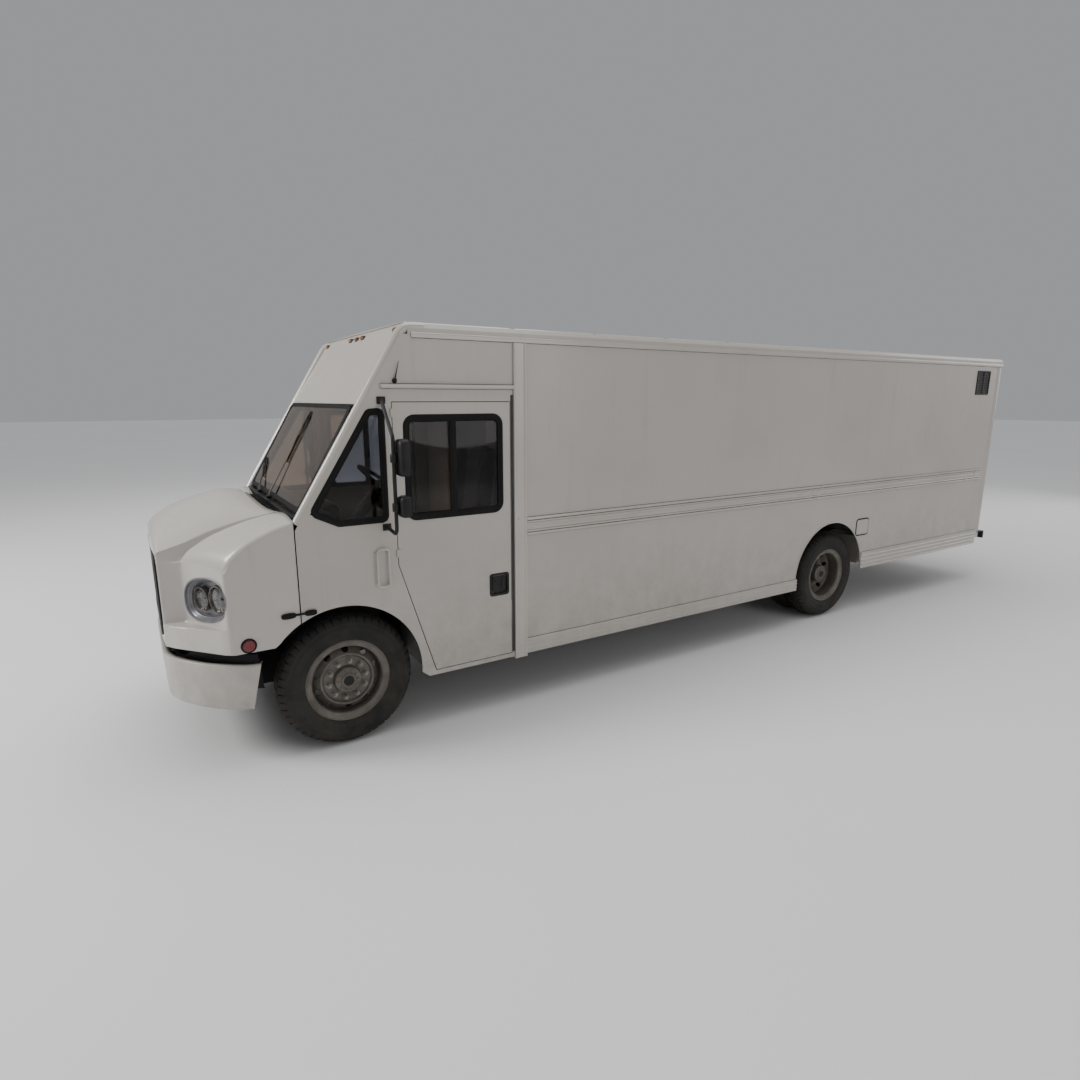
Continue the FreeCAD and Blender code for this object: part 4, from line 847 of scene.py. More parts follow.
FRONT_DISC = ((0.114, 0.264), (0.109, 0.257), (0.104, 0.250), (0.092, 0.238), (0.079, 0.226),
              (0.069, 0.214), (0.060, 0.208), (0.055, 0.204), (0.053, 0.199), (0.054, 0.192),
              (0.058, 0.187), (0.066, 0.183), (0.071, 0.178), (0.072, 0.160), (0.072, 0.120),
              (0.070, 0.104))
REAR_DISC = ((0.176, 0.264), (0.181, 0.257), (0.187, 0.250), (0.199, 0.240), (0.212, 0.228),
             (0.225, 0.216), (0.234, 0.210), (0.240, 0.205), (0.243, 0.199), (0.245, 0.194),
             (0.250, 0.187), (0.256, 0.183), (0.258, 0.178), (0.258, 0.160), (0.258, 0.125),
             (0.256, 0.109))
REAR_INNER_DISC = ((0.060, 0.264), (0.030, 0.235), (0.010, 0.208), (0.004, 0.198),
                   (0.003, 0.160), (0.003, 0.115))
nut_steel = surface("nut_steel", (0.30, 0.28, 0.25), (0.20, 0.185, 0.165), 0.34, metal=0.7,
                    patch=40.0, grain=300.0, relief=0.0002, worn=0.5, grime=0.4)
LIP = ((0.0620, 0.2640), (0.0480, 0.2660), (0.0415, 0.2710), (0.0390, 0.2780), (0.0380, 0.2860),
       (0.0375, 0.2950), (0.0345, 0.3050), (0.0290, 0.3130), (0.0245, 0.3170), (0.0250, 0.3205),
       (0.0290, 0.3218), (0.0350, 0.3185), (0.0405, 0.3100), (0.0435, 0.2960), (0.0440, 0.2790))
RIM = LIP + ((0.0600, 0.2765), (0.0800, 0.2740), (0.1000, 0.2700), (0.1500, 0.2690),
             (0.1900, 0.2740)) + tuple((0.27 - d, r) for d, r in reversed(LIP)) \
    + ((0.1800, 0.2630), (0.1350, 0.2625), (0.0900, 0.2630))


def add_nuts(build, seat_depth, face_x, side, axle):
    for k in range(STUDS):
        turn = 2 * math.pi * (k + 0.25) / STUDS
        place = Vector((side * (face_x - seat_depth), axle.y + STUD_CIRCLE * math.cos(turn),
                        axle.z + STUD_CIRCLE * math.sin(turn)))
        out = Vector((side, 0, 0))
        build.lathe([(-0.004, 0.0245), (0.004, 0.0245), (0.006, 0.0215), (0.006, 0.010)],
                    place, out, 20)
        build.nut(place + out * 0.005, out, 0.0205, 0.023, turn)
        build.lathe([(0.024, 0.0105), (0.038, 0.0105), (0.040, 0.009), (0.040, 0.0003)],
                    place, out, 14)


def make_wheels():
    for label, side in SIDES:
        for place in ("front", "rear"):
            rear = place == "rear"
            node = "rear_wheels_" + label if rear else "front_wheel_" + label
            tyre_node = "rear_tyres_" + label if rear else "front_tyre_" + label
            low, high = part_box(tyre_node)
            axle = (low + high) / 2
            casing = Build()
            middles = [FACE_X - TYRE_HALF]
            if rear:
                middles.append(min(abs(low.x), abs(high.x)) + TYRE_HALF)
            for middle in middles:
                add_tyre(casing, side * middle, axle)
            casing.make("tyre_tread_" + place + "_" + label, tyre_rubber, node, "tyre",
                        [tyre_node], smooth=42)
            rims, nuts, hubs = Build(), Build(), Build()
            for middle in middles:
                face = middle + TYRE_HALF
                rims.lathe([(-side * d, r) for d, r in RIM], (side * face, axle.y, axle.z),
                           (1, 0, 0), 72, close=True)
            sheets = [(FACE_X, REAR_DISC if rear else FRONT_DISC, True)]
            if rear:
                sheets.append((middles[1] + TYRE_HALF, REAR_INNER_DISC, False))
            seat = 0.256 if rear else 0.070
            add_nuts(nuts, seat, FACE_X, side, axle)
            reach = 0.100 if rear else 0.030
            hub = [(seat + 0.004, 0.109), (seat - 0.004, 0.108), (seat - 0.012, 0.104),
                   (reach + 0.006, 0.101), (reach, 0.096), (reach - 0.003, 0.088),
                   (reach - 0.0035, 0.062), (reach - 0.010, 0.058), (reach - 0.013, 0.052),
                   (reach - 0.0135, 0.038)]
            hubs.lathe([(-side * d, r) for d, r in hub], (side * FACE_X, axle.y, axle.z),
                       (1, 0, 0), 60)
            for k in range(10):
                turn = 2 * math.pi * k / 10
                centre = Vector((side * (FACE_X - reach + 0.003), axle.y + 0.077 * math.cos(turn),
                                 axle.z + 0.077 * math.sin(turn)))
                hubs.nut(centre, (side, 0, 0), 0.0085, 0.007)
                turn += math.pi / 10
                radial = Vector((0, math.cos(turn), math.sin(turn)))
                hubs.sweep([Vector((side * (FACE_X - reach - 0.0005), axle.y, axle.z))
                            + radial * r for r in (0.060, 0.092)],
                           [(-0.0035, -0.002), (0.0035, -0.002), (0.0015, 0.0035),
                            (-0.0015, 0.0035)], (side, 0, 0))
            cap = Build()
            cap.lathe([(-side * (reach - d), r) for d, r in
                       ((0.006, 0.040), (0.015, 0.0395), (0.0175, 0.037), (0.0180, 0.030),
                        (0.0165, 0.028), (0.0165, 0.012), (0.0175, 0.010), (0.0175, 0.0004))],
                      (side * FACE_X, axle.y, axle.z), (1, 0, 0), 40)
            name = place + "_" + label
            rims.make("rims_" + name, wheel_steel, node, "wheel_steel", [node], smooth=40)
            make_disc("disc_" + name, node, side, axle, sheets)
            nuts.make("nuts_" + name, nut_steel, node, "wheel_steel", smooth=30)
            hubs.make("hub_" + name, wheel_steel, node, "wheel_steel", smooth=35)
            cap.make("hub_cap_" + name, black_plastic, node, "wheel_steel", smooth=35)


make_wheels()


# ------------------------------------------------------------------ bumpers, rails and skin
POST_FRONT, POST_REAR = -2.700, -2.580        # the posts behind the cab doors
BELT_END = 4.950        # where the belt moulding ends at the rear
REAR_ARCH_Y, REAR_ARCH_Z, REAR_ARCH_R = 1.640, 0.555, 0.617


def make_front_bumper():
    low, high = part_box("front_bumper")
    plan = [(0.0, low.y), (0.30, low.y), (0.46, low.y + 0.004), (0.555, low.y + 0.028),
            (0.64, low.y + 0.062), (0.706, low.y + 0.103), (0.80, low.y + 0.170),
            (0.892, low.y + 0.250), (0.97, low.y + 0.342), (1.03, low.y + 0.435),
            (1.068, low.y + 0.520), (1.082, low.y + 0.578)]
    curve = rounded_path([(x, y, 0) for x, y in plan], 4)
    top, foot = high.z, low.z
    bumper = Build()
    rows = []
    count = len(curve)
    for i, point in enumerate(curve):
        ahead = curve[min(i + 1, count - 1)] - curve[max(i - 1, 0)]
        inward = Vector((-ahead.y, ahead.x, 0)).normalized()
        share = max(0.0, (i / (count - 1) - 0.80) / 0.20)
        slant = ahead.normalized()
        row = []
        for inside, z in ((0.045, top - 0.004), (0.016, top), (0.006, top - 0.002),
                          (0.001, top - 0.008), (0.0, top - 0.016), (0.001, 0.76),
                          (0.003, 0.70), (0.006, 0.63), (0.010, 0.56), (0.014, 0.50),
                          (0.017, foot + 0.014), (0.020, foot + 0.005), (0.026, foot),
                          (0.055, foot + 0.002)):
            back = slant * (-(top - z) * 0.22 * share ** 1.5)
            at = point + inward * inside + back
            row.append(Vector((at.x, at.y, z)))
        rows.append(row)
    rows.append([rows[-1][k] + Vector((-0.030, 0.004, 0)) for k in range(len(rows[-1]))])
    bumper.grid(rows)
    bumper.mirror()
    bumper.make("front_bumper_shell", paint, "truck_body", "body_paint", ["front_bumper"],
                smooth=34, weld=0.0006, thick=0.006)


def make_rear_bumper():
    low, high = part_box("rear_bumper")
    step = Build()
    section = [(-0.048, 0.050), (0.046, 0.050), (0.050, 0.046), (0.050, -0.046),
               (0.046, -0.050), (0.040, -0.050), (0.040, 0.036), (0.034, 0.042),
               (-0.048, 0.042)]
    middle = ((low.y + high.y) / 2, (low.z + high.z) / 2)
    half_z = (high.z - low.z) / 2
    half_y = (high.y - low.y) / 2
    rows = []
    reach = HALF + 0.012
    for x in np.linspace(-reach, reach, 41):
        rows.append([Vector((x, middle[0] + a * half_y / 0.050, middle[1] + b * half_z / 0.050))
                     for a, b in section])
    step.loft(rows)
    for i in range(46):
        for j in range(3):
            x = low.x + 0.04 + i * (high.x - low.x - 0.08) / 45
            y = low.y + 0.022 + j * 0.028
            step.block((x - 0.008, y - 0.003, high.z - 0.003), (x + 0.008, y + 0.003, high.z),
                       0.0012, 1)
    step.make("rear_step", dark_metal, "truck_body", "dark_metal", ["rear_bumper"], smooth=30)


def rail(build, y_from, y_to, section, steps=2):
    """A moulding along the body side: the section is (out from the side plane, z)."""
    rows = []
    for k in range(steps + 1):
        y = y_from + (y_to - y_from) * k / steps
        rows.append([Vector((HALF + out, y, z)) for out, z in section])
    build.loft(rows)


def ribbed(low, high, out, ribs, depth):
    """A moulding's section with rounded edges and rounded ribs along its face."""
    section = [(0.0003, low), (out * 0.55, low + 0.0005), (out * 0.85, low + 0.003),
               (out, low + 0.008)]
    span = (high - low - 0.016) / ribs
    for k in range(ribs):
        start = low + 0.008 + span * k
        section += [(out, start + span * 0.14), (out - depth, start + span * 0.28),
                    (out - depth, start + span * 0.72), (out, start + span * 0.86)]
    section += [(out, high - 0.008), (out * 0.85, high - 0.003), (out * 0.55, high - 0.0005),
                (0.0003, high)]
    return section


def make_rails():
    rails = Build()
    rail(rails, -3.536, 5.190, [(0.0003, 3.040), (0.006, 3.0405), (0.0095, 3.044), (0.010, 3.050),
                                (0.010, 3.068), (0.0075, 3.075), (0.003, 3.0795),
                                (0.0003, 3.078)])
    belt = [(0.0003, 1.486), (0.010, 1.4865), (0.016, 1.490), (0.018, 1.497), (0.018, 1.506),
            (0.0135, 1.510), (0.0135, 1.516), (0.018, 1.520), (0.018, 1.526), (0.014, 1.531),
            (0.008, 1.533), (0.008, 1.556), (0.0105, 1.559), (0.0105, 1.567), (0.008, 1.570),
            (0.008, 1.593), (0.014, 1.595), (0.018, 1.600), (0.018, 1.606), (0.0135, 1.610),
            (0.0135, 1.616), (0.018, 1.620), (0.018, 1.629), (0.016, 1.636), (0.010, 1.6395),
            (0.0003, 1.640)]
    rail(rails, POST_REAR, BELT_END, belt)
    rail(rails, POST_REAR, 1.040, ribbed(0.436, 0.571, 0.015, 3, 0.005))
    rail(rails, 2.258, 5.050, ribbed(0.534, 0.743, 0.015, 4, 0.005))
    rail(rails, -3.780, -2.700, [(0.0003, 2.681), (0.012, 2.682), (0.018, 2.686), (0.020, 2.692),
                                 (0.020, 2.710), (0.018, 2.714), (0.0155, 2.710), (0.015, 2.697),
                                 (0.010, 2.694), (0.005, 2.699), (0.004, 2.714),
                                 (0.0003, 2.717)])
    arc = []
    for k in range(61):
        turn = math.radians(1.6 + 176.8 * k / 60)
        arc.append(Vector((HALF, REAR_ARCH_Y + (REAR_ARCH_R + 0.004) * math.cos(turn),
                           REAR_ARCH_Z + (REAR_ARCH_R + 0.004) * math.sin(turn))))
    rows = []
    for point in arc:
        radial = Vector((0, point.y - REAR_ARCH_Y, point.z - REAR_ARCH_Z)).normalized()
        rows.append([point + radial * a + Vector((b, 0, 0)) for a, b in
                     ((-0.003, -0.008), (-0.003, 0.003), (-0.0015, 0.0052), (0.001, 0.006),
                      (0.006, 0.0055), (0.0085, 0.003), (0.0085, 0.0003), (0.0, -0.008))])
    rails.loft(rows)
    # Painted shade: thin black strips laid in the mouldings' grooves and along their edges, standing in
    # for the shadow lines there.
    groove_shade_strips = Build()
    for z, out in ((1.513, 0.0137), (1.613, 0.0137), (1.5318, 0.0092), (1.5942, 0.0092)):
        groove_shade_strips.block((HALF + out - 0.001, POST_REAR + 0.002, z - 0.0022),
                      (HALF + out + 0.0006, 4.948, z + 0.0022), 0.0004, 1)
    for z, y_from, y_to in ((1.4848, POST_REAR, BELT_END), (1.6412, POST_REAR, BELT_END),
                            (0.5722, POST_REAR, 1.040), (0.7442, 2.258, 5.050),
                            (3.0388, -3.53, 5.190),
                            (2.6800, -3.780, -2.700), (2.7178, -3.780, -2.700)):
        groove_shade_strips.block((HALF - 0.001, y_from, z - 0.0014), (HALF + 0.0024, y_to, z + 0.0014),
                      0.0004, 1)
    for k in range(1, 3):
        z = 0.444 + 0.0397 * k
        groove_shade_strips.block((HALF + 0.008, POST_REAR, z - 0.003),
                      (HALF + 0.0112, 1.040, z + 0.003), 0.001, 1)
    for k in range(1, 4):
        z = 0.542 + 0.04825 * k
        groove_shade_strips.block((HALF + 0.008, 2.258, z - 0.003), (HALF + 0.0112, 5.050, z + 0.003), 0.001, 1)
    groove_shade_strips.mirror()
    groove_shade_strips.make("moulding_groove_shade", black_rubber, "truck_body", "body_sheet", smooth=30)
    rails.mirror()
    rails.make("body_mouldings", trim, "truck_body", "body_sheet", ["body_rails"], smooth=30)


make_front_bumper()
make_rear_bumper()
make_rails()


# ------------------------------------------------------------------ posts, cap and glazing
LATCH_Z = 1.120        # the hood latches' height
UP = Vector((0, math.sin(math.radians(30)), math.cos(math.radians(30))))
OUT = Vector((0, -math.cos(math.radians(30)), math.sin(math.radians(30))))
SHIELD_FOOT = Vector((0, -4.380, 1.814))
amber_lens = surface("amber_lens", (0.22, 0.075, 0.008), (0.15, 0.05, 0.006), 0.2, patch=30.0,
                     grain=300.0, relief=0.0006, coat=0.5)
mirror_silver = surface("mirror_silver", (0.72, 0.74, 0.76), (0.66, 0.68, 0.70), 0.05, metal=1.0,
                        patch=12.0, rough_spread=0.05, grain=60.0, relief=0.00002)


def offset(outline, distance):
    """A flat outline of (a, b) points moved outwards by a distance."""
    count = len(outline)
    area = sum(outline[i - 1][0] * outline[i][1] - outline[i][0] * outline[i - 1][1]
               for i in range(count))
    turn = 1 if area > 0 else -1
    moved = []
    for i in range(count):
        a, b, c = (Vector(outline[(i + k) % count]) for k in (-1, 0, 1))
        before, after = (b - a).normalized(), (c - b).normalized()
        one = Vector((before.y, -before.x)) * turn
        two = Vector((after.y, -after.x)) * turn
        moved.append(b + (one + two) * (distance / (1 + one.dot(two))))
    return [tuple(p) for p in moved]


def side_loop(outline, distance, radius, x, steps=8):
    """A rounded loop in the body side's plane, moved outwards from a (y, z) outline."""
    return filleted([(x, y, z) for y, z in offset(outline, distance)], radius, steps)


def gasket(build, outline, inner, outer, radius, x_back, x_front, steps=8):
    """A rounded rubber frame lying on a flat (y, z) outline."""
    deep = x_front - x_back
    rows = [side_loop(outline, d, max(radius + d, 0.012), x, steps)
            for d, x in ((inner, x_back), (inner, x_front - deep * 0.45), (inner + 0.003, x_front - 0.002),
                 (inner + 0.008, x_front - 0.001), (inner + 0.012, x_front - 0.0035),
                 (inner + 0.017, x_front - 0.0035), (inner + 0.021, x_front),
                 (outer - 0.006, x_front), (outer - 0.002, x_front - 0.002),
                 (outer, x_front - 0.005), (outer, x_back))]
    build.grid(rows, wrap_rows=True, wrap_columns=True)


def flat_ring(build, outer_loop, inner_loop, push):
    """A plate between two matching loops, with a turned-in inner lip."""
    push = Vector(push)
    rows = [[p - push for p in outer_loop], outer_loop, inner_loop, [p - push for p in inner_loop]]
    build.grid(rows, wrap_columns=True)


def make_pillars():
    pillars = Build()
    section = []
    for k in range(40):
        turn = 2 * math.pi * k / 40
        radius = 0.0378 - (0.0012 if k % 10 in (4, 5) else 0.0)
        section.append((radius * math.cos(turn), radius * math.sin(turn)))
    path = [(1.0618, -4.412, 1.752), (1.0618, -3.625, 3.047), (1.0618, -3.610, 3.070),
            (1.0615, -3.592, 3.090), (1.061, -3.568, 3.105), (1.061, -3.540, 3.1125),
            (1.061, -3.500, 3.1145), (1.061, -3.430, 3.1145)]
    pillars.sweep([Vector(p) for p in path], section, (1, 0, 0))
    pillars.mirror()
    pillars.make("a_pillar_covers", trim, "truck_body", "body_paint", ["body_posts"], smooth=50)


def make_door_posts():
    posts = Build()
    front, rear = POST_FRONT, POST_REAR
    half = [(1.062, front), (1.112, front), (1.1165, front + 0.002), (1.1185, front + 0.006),
            (1.1185, front + 0.016), (1.1165, front + 0.020), (1.112, front + 0.026),
            (1.112, rear - 0.026), (1.1165, rear - 0.020), (1.1185, rear - 0.016),
            (1.1185, rear - 0.006), (1.1165, rear - 0.002), (1.112, rear), (1.062, rear)]
    rows = [[Vector((x, y, z)) for x, y in half] for z in (0.413, 0.418, 3.030, 3.038)]
    posts.loft(rows)
    corner = [(1.000, 5.190), (1.052, 5.190)]
    for k in range(9):
        turn = math.radians(90 - 90 * k / 8)
        corner.append((1.056 + 0.044 * math.cos(turn), 5.146 + 0.044 * math.sin(turn)))
    corner += [(1.100, 5.060), (1.098, 5.056), (1.098, 5.050)]
    inner = [(x - 0.004 * (x > 1.0), y - 0.004) for x, y in reversed(corner[:-3])]
    inner = [(1.094, 5.050), (1.094, 5.142)] + [p for p in inner if p[1] > 5.142]
    loop = corner + inner
    rows = [[Vector((x, y, z)) for x, y in loop] for z in (0.620, 0.700, 1.4, 2.2, 3.064)]
    posts.grid(rows, wrap_columns=True)
    posts.mirror()
    posts.make("door_posts", trim, "truck_body", "body_paint", smooth=35)


def make_portal():
    portal = Build()
    portal.block((-1.0, 5.050, 2.905), (1.0, 5.190, 3.064), 0.012, 4)
    portal.block((-1.0, 5.050, 0.934), (1.0, 5.190, 1.020), 0.008, 4)
    portal.block((-1.0, 5.184, 0.722), (1.0, 5.190, 0.938), 0.002, 2)
    half = [(1.0955, 3.058), (1.0955, 3.109), (1.075, 3.139), (1.028, 3.150)]
    edge = half + [(0.0, 3.156)] + [(-x, z) for x, z in reversed(half)]
    rows = [[Vector((x, y, z)) for x, z in edge] for y in (5.170, 5.186)]
    portal.loft(rows)
    portal.make("rear_portal", paint, "truck_body", "body_paint", smooth=40)


def make_cap():
    cap = Build()
    profile = [(-3.9405, 2.574), (-3.939, 2.5755), (-3.9383, 2.577)]
    profile += [(-3.9383 + 0.320 * t, 2.577 + 0.487 * t) for t in (0.01, 0.25, 0.5, 0.75, 0.96)]
    profile += [(-3.612, 3.0735), (-3.597, 3.0935), (-3.575, 3.122), (-3.562, 3.1375),
                (-3.553, 3.1480), (-3.543, 3.1535), (-3.530, 3.1560)]
    back = [(y + 0.0045, z - 0.0045) for y, z in reversed(profile)]
    rows = []
    for x in np.linspace(-1.036, 1.036, 33):
        rise = 0.003 * (1 - abs(x) / 1.036)
        rows.append([Vector((x, y, z + rise * (z > 3.14))) for y, z in profile + back])
    cap.loft(rows)
    cap.make("cap_skin", paint, "truck_body", "body_paint", ["front_cap"], smooth=30)


def shield_point(x, slope, out):
    return SHIELD_FOOT + UP * slope + OUT * out + Vector((x, 0, 0))


def make_glazing():
    pane = Build()
    rows = []
    for out in (0.010, 0.004):
        rows.append([shield_point(x, s, out) for x, s in
                     ((-1.003, 0.026), (1.003, 0.026), (1.003, 0.846), (-1.003, 0.846))])
    pane.loft(rows)
    pane.make("windshield_pane", windshield_glass_painted_reflection, "truck_body", "tinted_glass", ["fixed_glass"],
              smooth=0)
    panes = Build()
    quarter = [(-4.307, 1.829), (-4.122, 1.744), (-3.788, 1.744), (-3.788, 2.520),
               (-3.878, 2.513)]
    for x in (1.096, 1.101):
        panes.lid([(x, y, z) for y, z in quarter])
    rows = [[Vector((x, y, z)) for y, z in quarter] for x in (1.096, 1.101)]
    panes.grid(rows, wrap_columns=True)
    panes.mirror()
    panes.make("quarter_panes", glass, "truck_body", "tinted_glass", smooth=0)

    seals = Build()
    loop = filleted([shield_point(x, s, 0.0) for x, s in
                     ((-0.990, 0.004), (0.990, 0.004), (0.990, 0.868), (-0.990, 0.868))],
                    0.055, 8)
    middle = shield_point(0, 0.436, 0)
    rows = []
    for inward, out in ((0.0, 0.001), (-0.003, 0.010), (0.002, 0.0145), (0.010, 0.0165),
                        (0.014, 0.0145), (0.019, 0.0145), (0.023, 0.0165), (0.031, 0.0150),
                        (0.036, 0.0115), (0.038, 0.002)):
        row = []
        for p in loop:
            d = p - middle
            across = d.x
            along = d.dot(UP)
            row.append(middle + Vector((across * (1 - inward / 0.990), 0, 0))
                       + UP * (along * (1 - inward / 0.432)) + OUT * out)
        rows.append(row)
    seals.grid(rows, wrap_rows=True, wrap_columns=True)
    seals.make("windshield_seal", black_rubber, "truck_body", "black_rubber",
               ["window_gaskets"], smooth=50)
    quarter_cut = [(-4.325, 1.822), (-4.130, 1.726), (-3.770, 1.726), (-3.770, 2.538),
                   (-3.885, 2.530)]
    frames = Build()
    gasket(frames, quarter_cut, -0.038, 0.011, 0.045, 1.0935, 1.1075)
    frames.mirror()
    frames.make("quarter_seals", black_rubber, "truck_body", "black_rubber", smooth=50)


DOOR_WINDOW = [(-3.615, 1.717), (-2.805, 1.717), (-2.805, 2.488), (-3.615, 2.488)]
DOOR_EDGE = [(-3.700, 2.585), (-3.700, 1.380), (-3.424, 0.473), (-2.730, 0.473),
             (-2.730, 2.585)]


def turned_over(build, side):
    """Mirrors a piece that was built on the left, if it is for the right side."""
    if side < 0:
        build.points = [Vector((-p.x, p.y, p.z)) for p in build.points]


def make_doors():
    for label, side in SIDES:
        door = "cab_door_" + label
        seal = Build()
        gasket(seal, DOOR_WINDOW, -0.040, 0.010, 0.078, 1.0915, 1.1065)
        seal.block((1.0918, -3.256, 1.752), (1.1000, -3.200, 2.452), 0.003, 3)
        seal.block((1.0990, -3.240, 1.752), (1.1025, -3.216, 2.452), 0.0015, 2)
        for z in (1.757, 2.448):
            seal.block((1.083, -3.612, z - 0.006), (1.0935, -2.808, z + 0.006), 0.001, 1)
        turned_over(seal, side)
        seal.make("door_window_seal_" + label, black_rubber, door, "body_sheet", smooth=50)
        infill = Build()
        inner = side_loop(DOOR_WINDOW, 0.004, 0.082, 1.0996)
        outer = []
        for y, z in offset(DOOR_WINDOW, 0.004):
            outer += [Vector((1.0996, y, z))] * 9
        flat_ring(infill, outer, inner, (0.006, 0, 0))
        turned_over(infill, side)
        infill.make("door_window_corners_" + label, paint, door, "body_sheet", smooth=30)
        cup = Build()
        recess = [(-2.921, 1.015), (-2.764, 1.015), (-2.764, 1.183), (-2.921, 1.183)]
        rows = [side_loop(recess, d, 0.026, x, 6)
                for d, x in ((-0.010, 1.0826), (-0.006, 1.0995), (-0.002, 1.1035), (0.004, 1.1045),
                     (0.010, 1.1035), (0.014, 1.1002))]
        cup.grid(rows, wrap_columns=True)
        turned_over(cup, side)
        cup.make("handle_bezel_" + label, black_plastic, door, "body_sheet", smooth=50)
        lever = Build()
        plate = [(-2.906, 1.030), (-2.779, 1.030), (-2.779, 1.168), (-2.906, 1.168)]
        rows = [side_loop(plate, d, 0.020, x, 6)
                for d, x in ((-0.060, 1.0850), (-0.003, 1.0850), (0.0, 1.0870), (0.0, 1.0950),
                     (-0.004, 1.0985), (-0.010, 1.0995), (-0.018, 1.0990), (-0.060, 1.0985))]
        lever.grid(rows, wrap_columns=True)
        lever.block((1.0975, -2.822, 1.050), (1.1045, -2.792, 1.148), 0.004, 3)
        lever.block((1.0985, -2.818, 1.062), (1.1062, -2.800, 1.136), 0.003, 3)
        lever.dome((1.0988, -2.872, 1.130), (1, 0, 0), 0.011, 0.004, 20)
        turned_over(lever, side)
        lever.make("door_lever_" + label, black_plastic, "door_handle_" + label,
                   "black_plastic", ["door_handle_" + label], smooth=45)
    weather = Build()
    loop = side_loop(DOOR_EDGE, 0.003, 0.012, 1.0945, 3)
    weather.tube(loop, 0.0025, 8, True)
    strip = Build()
    strip.block((1.090, -2.7215, 0.480), (1.108, -2.7020, 2.640), 0.004, 3)
    strip.mirror()
    weather.mirror()
    weather.make("door_weather_seals", black_rubber, "truck_body", "black_rubber", smooth=60)
    strip.make("door_shut_strips", dark_metal, "truck_body", "black_rubber", smooth=40)


def make_rear_doors():
    for label, side in SIDES:
        low_x, high_x, foot, top = 0.004, 0.992, 1.030, 2.898
        window = [(0.300, 1.900), (0.720, 1.900), (0.720, 2.500), (0.300, 2.500)]
        leaf = Build()
        loop = filleted([(x, 5.172, z) for x, z in window], 0.05, 6)
        frame_loop = []
        for x, z in ((low_x, foot), (high_x, foot), (high_x, top), (low_x, top)):
            frame_loop += [Vector((x, 5.172, z))] * 7
        inside = [p + Vector(((0.510 - p.x) * 0.02, -0.0015, (1.96 - p.z) * 0.01))
                  for p in frame_loop]
        rows = [[p - Vector((0, 0.012, 0)) for p in frame_loop],
                [p - Vector((0, 0.0015, 0)) for p in frame_loop], frame_loop, inside, loop,
                [p - Vector((0, 0.012, 0)) for p in loop],
                [p - Vector((0, 0.012, 0)) for p in frame_loop]]
        leaf.grid(rows, wrap_columns=True)
        for z in (1.06, 1.70, 2.80):
            leaf.block((0.02, 5.150, z), (0.98, 5.161, z + 0.06), 0.003, 2)
        hinges = Build()
        for z in (1.15, 1.90, 2.70):
            hinges.block((0.82, 5.1725, z + 0.006), (0.994, 5.180, z + 0.074), 0.003, 3)
            hinges.tube([(1.001, 5.196, z), (1.001, 5.196, z + 0.08)], 0.0062, 16)
            hinges.block((0.985, 5.176, z + 0.004), (1.003, 5.192, z + 0.076), 0.003, 2)
            for x in (0.845, 0.885, 0.925):
                for lift in (0.022, 0.058):
                    hinges.dome((x, 5.180, z + lift), (0, 1, 0), 0.007, 0.004, 10)
        rod = Build()
        rod.tube([(0.060, 5.186, 1.040), (0.060, 5.186, 2.880)], 0.0088, 16)
        for z in (1.10, 1.50, 2.78):
            rod.block((0.040, 5.1725, z), (0.080, 5.178, z + 0.04), 0.002, 2)
            rod.block((0.048, 5.176, z + 0.006), (0.072, 5.1955, z + 0.034), 0.004, 3)
        for z in (1.045, 2.872):
            rod.block((0.046, 5.172, z - 0.010), (0.074, 5.196, z + 0.010), 0.003, 2)
        pane = Build()
        pane.block((0.290, 5.164, 1.890), (0.730, 5.168, 2.510), 0.001, 1)
        seal = Build()
        rows = []
        for d, y in ((-0.012, 5.170), (-0.012, 5.176), (-0.008, 5.179), (0.0, 5.180),
                     (0.008, 5.179), (0.012, 5.176), (0.012, 5.1715)):
            outline = offset(window, d)
            rows.append(filleted([(x, y, z) for x, z in outline], 0.05 + d, 6))
        seal.grid(rows, wrap_columns=True)
        node = "rear_door_" + label
        for build, name, finish, swap in (
                (leaf, "rear_door_skin_", paint, [node]), (hinges, "rear_hinges_", dark_metal, ()),
                (rod, "rear_lock_rod_", dark_metal, ()), (pane, "rear_pane_", glass, ()),
                (seal, "rear_pane_seal_", black_rubber, ())):
            turned_over(build, side)
            build.make(name + label, finish, node, "body_sheet", swap, smooth=40)


